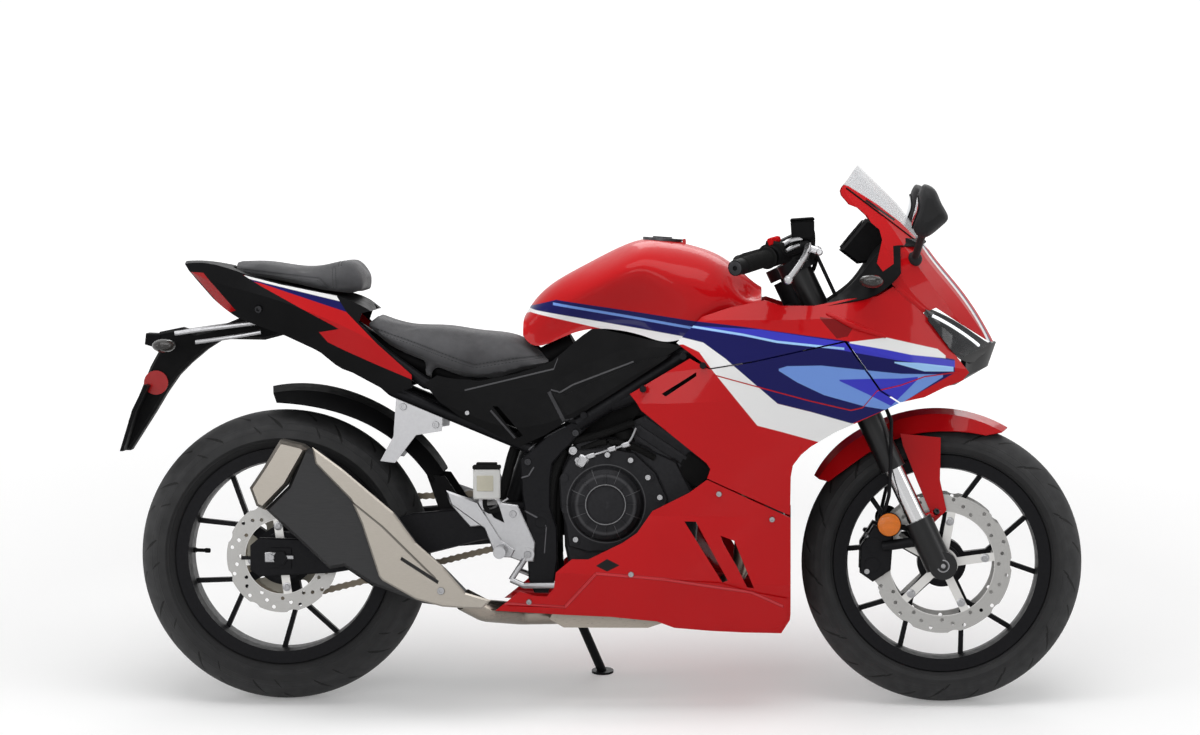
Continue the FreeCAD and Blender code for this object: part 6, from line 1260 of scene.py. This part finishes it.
BAR_CABLES = [(0.0036, [(78.0, 70.3, 0.205), (79.8, 70.5, 0.165), (80.2, 69.2, 0.125), (80.0, 67.4, 0.1),
                        (79.4, 65.2, 0.085)])]
CABLE_ENDS = [(0.0048, [(75.9, 69.7, 0.232), (77.0, 70.3, 0.217), (78.6, 70.5, 0.198)]),
              (0.0044, [(76.3, 68.7, 0.236), (77.3, 69.2, 0.222), (78.7, 69.6, 0.202)])]
RIGHT_BAR_CABLES = [
    (0.0036, [(78.2, 69.6, 0.205), (79.6, 69.5, 0.168), (80.0, 68.2, 0.13), (79.7, 66.2, 0.105), (79.0, 64.4, 0.09)]),
    (0.0042, [(79.4, 71.2, 0.168), (80.3, 72.0, 0.16), (80.5, 70.4, 0.145), (80.3, 68.2, 0.125), (79.6, 65.8, 0.105)]),
    (0.0046, [(79.8, 66.8, 0.12), (80.7, 68.2, 0.11), (80.9, 67.2, 0.1), (80.4, 65.6, 0.09), (79.4, 64.4, 0.08)])]
# Lever pivots: forward share, upward share, metres sideways, radius and height
PIVOTS = [(81.3, 68.5, 0.188, 0.0075, 0.019), (79.4, 69.3, 0.19, 0.0065, 0.017)]


def cockpit():
    """Cables, brake hoses and lever perches round the bars."""
    black = bmesh.new()
    bright = bmesh.new()
    for side in BOTH:
        runs(black, BAR_CABLES, side)
        runs(bright, CABLE_ENDS, side)
        block(bright, (80.4, 68.9, 0.196 * side), (0.016, 0.009, 0.007), 0.003, -18)
        for x, z, y, radius, height in PIVOTS:
            top = height - 0.003
            spun(bright, at(x, z, y * side), sideways(side),
                 [(0.004, 0, 0), (radius, 0.002, 0), (radius, top, 0), (radius - 0.0025, height, 0)], 20)
    runs(black, RIGHT_BAR_CABLES, RIGHT)
    block(black, (75.0, 69.3, -0.214), (0.021, 0.02, 0.012), 0.004, -12, -20)
    piece("bar_cables", black, rubber, "fork")
    piece("lever_perches", bright, lever_metal, "fork")


BAY_HOSES = [(0.0085, [(42.3, 39.6, 0.1), (45.5, 40.2, 0.118), (49.4, 41.2, 0.118), (53.4, 42.8, 0.112)]),
             (0.007, [(45.6, 38.6, 0.112), (49.0, 40.0, 0.118), (53.0, 39.4, 0.12), (56.6, 37.4, 0.115)]),
             (0.0125, [(41.4, 19.0, 0.104), (40.7, 27.0, 0.11), (40.9, 34.0, 0.11), (42.8, 38.6, 0.104)]),
             (0.008, [(41.9, 24.6, 0.09), (41.8, 30.0, 0.096), (42.2, 35.0, 0.094), (44.4, 38.9, 0.09)]),
             (0.011, [(33.2, 31.0, 0.092), (34.2, 34.4, 0.09), (35.0, 38.0, 0.086), (36.4, 41.0, 0.08)])]
BAY_CABLES = [(0.003, [(46.0, 37.5, 0.124), (47.8, 38.0, 0.126), (49.9, 38.7, 0.126), (51.5, 39.1, 0.126),
                       (52.9, 39.8, 0.124), (53.8, 41.9, 0.118)])]
PEDAL_WIRE = [(0.0028, [(30.6, 29.4, 0.14), (31.8, 29.5, 0.135), (34.4, 31.2, 0.115)])]


def engine_bay():
    """Throttle bodies, inlet box, hoses and clips in the gap between the frame, the engine and the cowl."""
    dark = bmesh.new()
    bright = bmesh.new()
    block(dark, (50.5, 43.2, 0.0), (0.085, 0.1, 0.028), 0.008, 24)
    block(dark, (55.4, 41.4, 0.0), (0.03, 0.09, 0.03), 0.006, -35)
    block(dark, (62.6, 35.4, 0.0), (0.034, 0.11, 0.03), 0.006, -35)
    for y in (-0.092, -0.03, 0.03, 0.092):
        spun(dark, at(51.8, 41.6, y), TURN @ Vector((0.25, 0, -0.97)),
             [(0.02, 0, 0), (0.024, 0.004, 0), (0.024, 0.02, 0), (0.02, 0.024, 0), (0.021, 0.05, 0)], 24)
    for side in BOTH:
        runs(dark, BAY_HOSES, side)
        runs(bright, BAY_CABLES, side)
        for x, z in ((47.0, 37.7), (50.2, 38.75), (52.3, 39.4)):
            block(bright, (x, z, 0.126 * side), (0.009, 0.005, 0.0052), 0.0016, 16)
        block(bright, (45.7, 36.9, 0.123 * side), (0.011, 0.008, 0.013), 0.003, -30)
        spun(bright, at(44.3, 38.5, 0.108 * side), sideways(side),
             [(0.007, 0, 0), (0.0105, 0.002, 0), (0.0105, 0.016, 0), (0.0085, 0.019, 0), (0.006, 0.019, 6),
              (0.0055, 0.014, 6)])
        runs(bright, PEDAL_WIRE, side)
    piece("inlet_hoses", dark, rubber, "chassis")
    piece("bay_clips", bright, steel, "chassis")


PANS = [(0.024, [(14.0, 54.6, 0.05), (18.0, 52.6, 0.058), (23.0, 50.6, 0.066), (28.0, 48.6, 0.074), (33.0, 48.6, 0.074),
                 (38.5, 50.6, 0.062)]),
        (0.026, [(36.5, 50.4, 0.05), (40.0, 52.2, 0.048), (44.0, 54.4, 0.044)]),
        (0.016, [(-4.6, 63.4, 0.04), (2.0, 62.2, 0.044), (9.6, 60.4, 0.046)])]
RAILS = [(0.0055, [(-16.6, 55.9, 0.05), (-10.0, 56.9, 0.052), (-3.2, 57.7, 0.055)]),
         (0.0045, [(-13.4, 54.6, 0.054), (-8.4, 55.3, 0.055), (-3.4, 56.2, 0.058)])]


def pans_and_rails():
    """Moulded pans that close the gaps under both seats, and bright rails out to the number plate's holder."""
    for name, table, count, material, slot in (("seat_pans", PANS, 16, dark_trim, "tail_cowl"),
                                               ("plate_rails", RAILS, 10, silver_cast, "rear_fender")):
        shape = bmesh.new()
        for side in BOTH:
            runs(shape, table, side, count)
        piece(name, shape, material, "chassis")


def axle_fittings():
    """Chain adjusters and axle nuts on the swingarm, and the rings round the front axle's ends."""
    rear = bmesh.new()
    front = bmesh.new()
    for side in BOTH:
        hit, _ = seen("swingarm", -1.3, 22.15, side)
        if hit:
            y = (TO_BIKE @ hit).y
            block(rear, (-1.3, 22.3, y + 0.002 * side), (0.014, 0.003, 0.0105), 0.0015)
            block(rear, (0.9, 22.3, y + 0.002 * side), (0.016, 0.0022, 0.004), 0.001)
            spun(rear, at(-1.3, 22.3, y + 0.004 * side), sideways(side),
                 [(0.0085, 0, 0), (0.0085, 0.002, 0), (0.0075, 0.002, 6), (0.0075, 0.008, 6), (0.006, 0.009, 6)])
        hit, _ = seen("fork_legs", 100.0, 22.8, side)
        if hit:
            y = (TO_BIKE @ hit).y
            spun(front, at(*front_share, y), sideways(side),
                 [(0.0135, -0.002, 0), (0.0135, 0.0025, 0), (0.0115, 0.003, 0), (0.0105, 0.0008, 0),
                  (0.006, 0.0008, 6), (0.0055, -0.001, 6)])
    piece("chain_adjusters", rear, steel, "chassis")
    piece("front_axle_ends", front, steel, "fork")


RIB = [(82.3, 59.4), (83.6, 58.9), (85.2, 58.1), (87.0, 57.3), (89.2, 56.5), (91.2, 55.9)]
JOINT_STEPS = 8
BEAD_STEPS = 12


def cowl_beads():
    """Rib above each side panel's hollow, red seal between nose and side panels, black bead under the screen."""
    ribs = bmesh.new()
    seals = bmesh.new()
    screen = bmesh.new()
    for side in BOTH:
        bead(ribs, seen_line("side_cowls", RIB, side), 0.0075, 12, 0.005)
        joint = []
        for k in range(JOINT_STEPS + 1):
            x, z = 92.0 + 5.6 * k / JOINT_STEPS, 63.8 - 4.7 * k / JOINT_STEPS
            above, _ = seen("nose_cowl", x + 0.55, z + 0.65, side)
            below, _ = seen("side_cowls", x - 0.55, z - 0.65, side)
            if above and below:
                joint.append((above + below) / 2 - sideways(side) * 0.008)
        bead(seals, joint, 0.009, 12)
        edge = [(85.4 + 11.0 * k / BEAD_STEPS - 0.1, 78.6 - 8.3 * k / BEAD_STEPS - 0.55)
                for k in range(BEAD_STEPS + 1)]
        bead(screen, seen_line("nose_cowl", edge, side, 0.0005), 0.0018, 8)
    piece("cowl_ribs", ribs, red, "chassis")
    piece("cowl_seals", seals, red, "chassis")
    piece("screen_bead", screen, rubber, "chassis")


def prisms(name, color, roughness=0.18):
    """Reflector moulding with small prism cells."""
    made = Shader(name, color, roughness, 0.0, Specular_IOR_Level=0.4)
    grid = made.cells(330, "F1", 0.15)
    made.bump(grid, 0.0006, 0.7)
    made.color(made.mix(made.ramp(grid, 0.1, 0.6), color, [c * 0.8 for c in color]))
    return made.material


def glowing(name, color, strength):
    made = Shader(name, color, 0.3)
    made.surface.inputs["Emission Color"].default_value = (*color, 1)
    made.feed(made.surface.inputs["Emission Strength"],
              made.ramp(made.noise(300, 2), 0.3, 0.7, strength * 0.8, strength))
    made.bump(made.noise(300, 2), 0.00005, 0.3)
    return made.material


thread = plastic("thread", srgb(34, 34, 35), 0.7, 2500, 0.00003).material
silvering = metal("silvering", srgb(200, 204, 208), 0.05, (2, 2, 2), 0.000002).material
display = display_finish()
led = glowing("led_strip", srgb(240, 242, 245), 0.7)
smoke = clear("smoke_lens", srgb(52, 50, 48), 0.06, 0.9).material
amber = prisms("amber_lens", srgb(236, 122, 8))
lever_metal = cast("lever_metal", srgb(176, 176, 178), 0.26, 0.95, 0.03).material
stop_red = plastic("stop_red", srgb(190, 14, 18), 0.4).material
milky = plastic("milky_plastic", srgb(205, 205, 203), 0.4).material
pale_fluid = plastic("pale_fluid", srgb(188, 184, 168), 0.3).material


def dressing():
    fasteners()
    wheel_screws("front_bobbins", "front_discs", "front_wheel", front_share, 92, 8, 5, BOTH, 0.0062)
    wheel_screws("rear_bobbins", "rear_disc", "rear_wheel", rear_share, 66, 8, 4, (RIGHT,), 0.0062)
    wheel_screws("sprocket_nuts", "rear_sprocket", "rear_wheel", rear_share, 50, 12, 5, (LEFT,), 0.006)
    valve_stem("front_valve", "front_rim", "front_wheel", front_share, 119)
    valve_stem("rear_valve", "rear_rim", "rear_wheel", rear_share, 178)
    seats()
    mirror_glass()
    instrument()
    lamp_inside()
    signal_lenses()
    fork_reflectors()
    grips()
    levers()
    switches()
    fluid_reservoirs()
    cockpit()
    engine_bay()
    pans_and_rails()
    axle_fittings()
    cowl_beads()


dressing()


# ---------------------------------------------------------------- floor, light and camera
FLOOR_REACH = 60
FLOOR_GLOW = (0.22, 0.8)
FLOOR_FADE = (1.5, 5.0)
WORLD_STRENGTH = 0.32
LENS_MM = 139.8
SENSOR_MM = 36
CLIP_END = 200
EYE = Vector((1.085, -10.0, 1.097))
AIM = Vector((0.677, 0, 0.715))


def stage():
    mesh = bpy.data.meshes.new("floor")
    mesh.from_pydata([(x * FLOOR_REACH, y * FLOOR_REACH, 0) for x, y in ((-1, -1), (1, -1), (1, 1), (-1, 1))], [],
                     [(0, 1, 2, 3)])
    floor = bpy.data.objects.new("floor", mesh)
    bpy.context.scene.collection.objects.link(floor)
    made = Shader("floor_paper", (0.8, 0.8, 0.8), 0.95, 0.0, Specular_IOR_Level=0.0)
    made.surface.inputs["Emission Color"].default_value = (1, 1, 1, 1)
    out = made.node("VectorMath", operation="LENGTH")
    made.feed(out.inputs[0], made.place())
    glow = made.ramp(out.outputs["Value"], *FLOOR_FADE, *FLOOR_GLOW)
    made.feed(made.surface.inputs["Emission Strength"], made.math("MULTIPLY", made.looked_at(), glow))
    made.bump(made.noise(4, 2), 0.0002, 0.2)
    mesh.materials.append(made.material)


def softbox(name, place, target, size, watts):
    data = bpy.data.lights.new(name, "AREA")
    data.shape = "RECTANGLE"
    data.size, data.size_y = size
    data.energy = watts
    lamp = bpy.data.objects.new(name, data)
    lamp.location = place
    lamp.rotation_euler = (Vector(target) - Vector(place)).to_track_quat("-Z", "Y").to_euler()
    bpy.context.scene.collection.objects.link(lamp)


def lights():
    world = bpy.data.worlds.new("studio")
    world.use_nodes = True
    tree = world.node_tree
    back = tree.nodes["Background"]
    back.inputs["Color"].default_value = (1, 1, 1, 1)
    sky = Nodes(tree)
    sky.feed(back.inputs["Strength"], sky.ramp(sky.looked_at(), 0, 1, WORLD_STRENGTH, 1.0))
    bpy.context.scene.world = world
    softbox("top", (0, -0.4, 3.6), (0, 0, 0.4), (4.2, 2.2), 85)
    softbox("side", (-1.2, -4.6, 2.4), (0, 0, 0.6), (3.4, 1.6), 48)
    softbox("far_side", (0.8, 4.4, 2.6), (0, 0, 0.6), (3.4, 1.6), 42)
    softbox("nose", (4.4, -1.4, 1.8), (0.4, 0, 0.6), (1.4, 2.2), 26)
    softbox("tail", (-4.4, -1.0, 1.9), (-0.4, 0, 0.6), (1.4, 2.2), 24)


def camera():
    data = bpy.data.cameras.new("camera")
    data.lens = LENS_MM
    data.sensor_width = SENSOR_MM
    data.clip_end = CLIP_END
    eye = TO_WORLD @ EYE
    back = (eye - TO_WORLD @ AIM).normalized()
    right = (TURN @ Vector((0, 0, 1))).cross(back).normalized()
    rotation = Matrix((right, back.cross(right), back)).transposed().to_4x4()
    made = bpy.data.objects.new("camera", data)
    made.matrix_world = Matrix.Translation(eye) @ rotation
    bpy.context.scene.collection.objects.link(made)
    bpy.context.scene.camera = made


stage()
lights()
camera()
bpy.context.scene.view_settings.view_transform = "Standard"
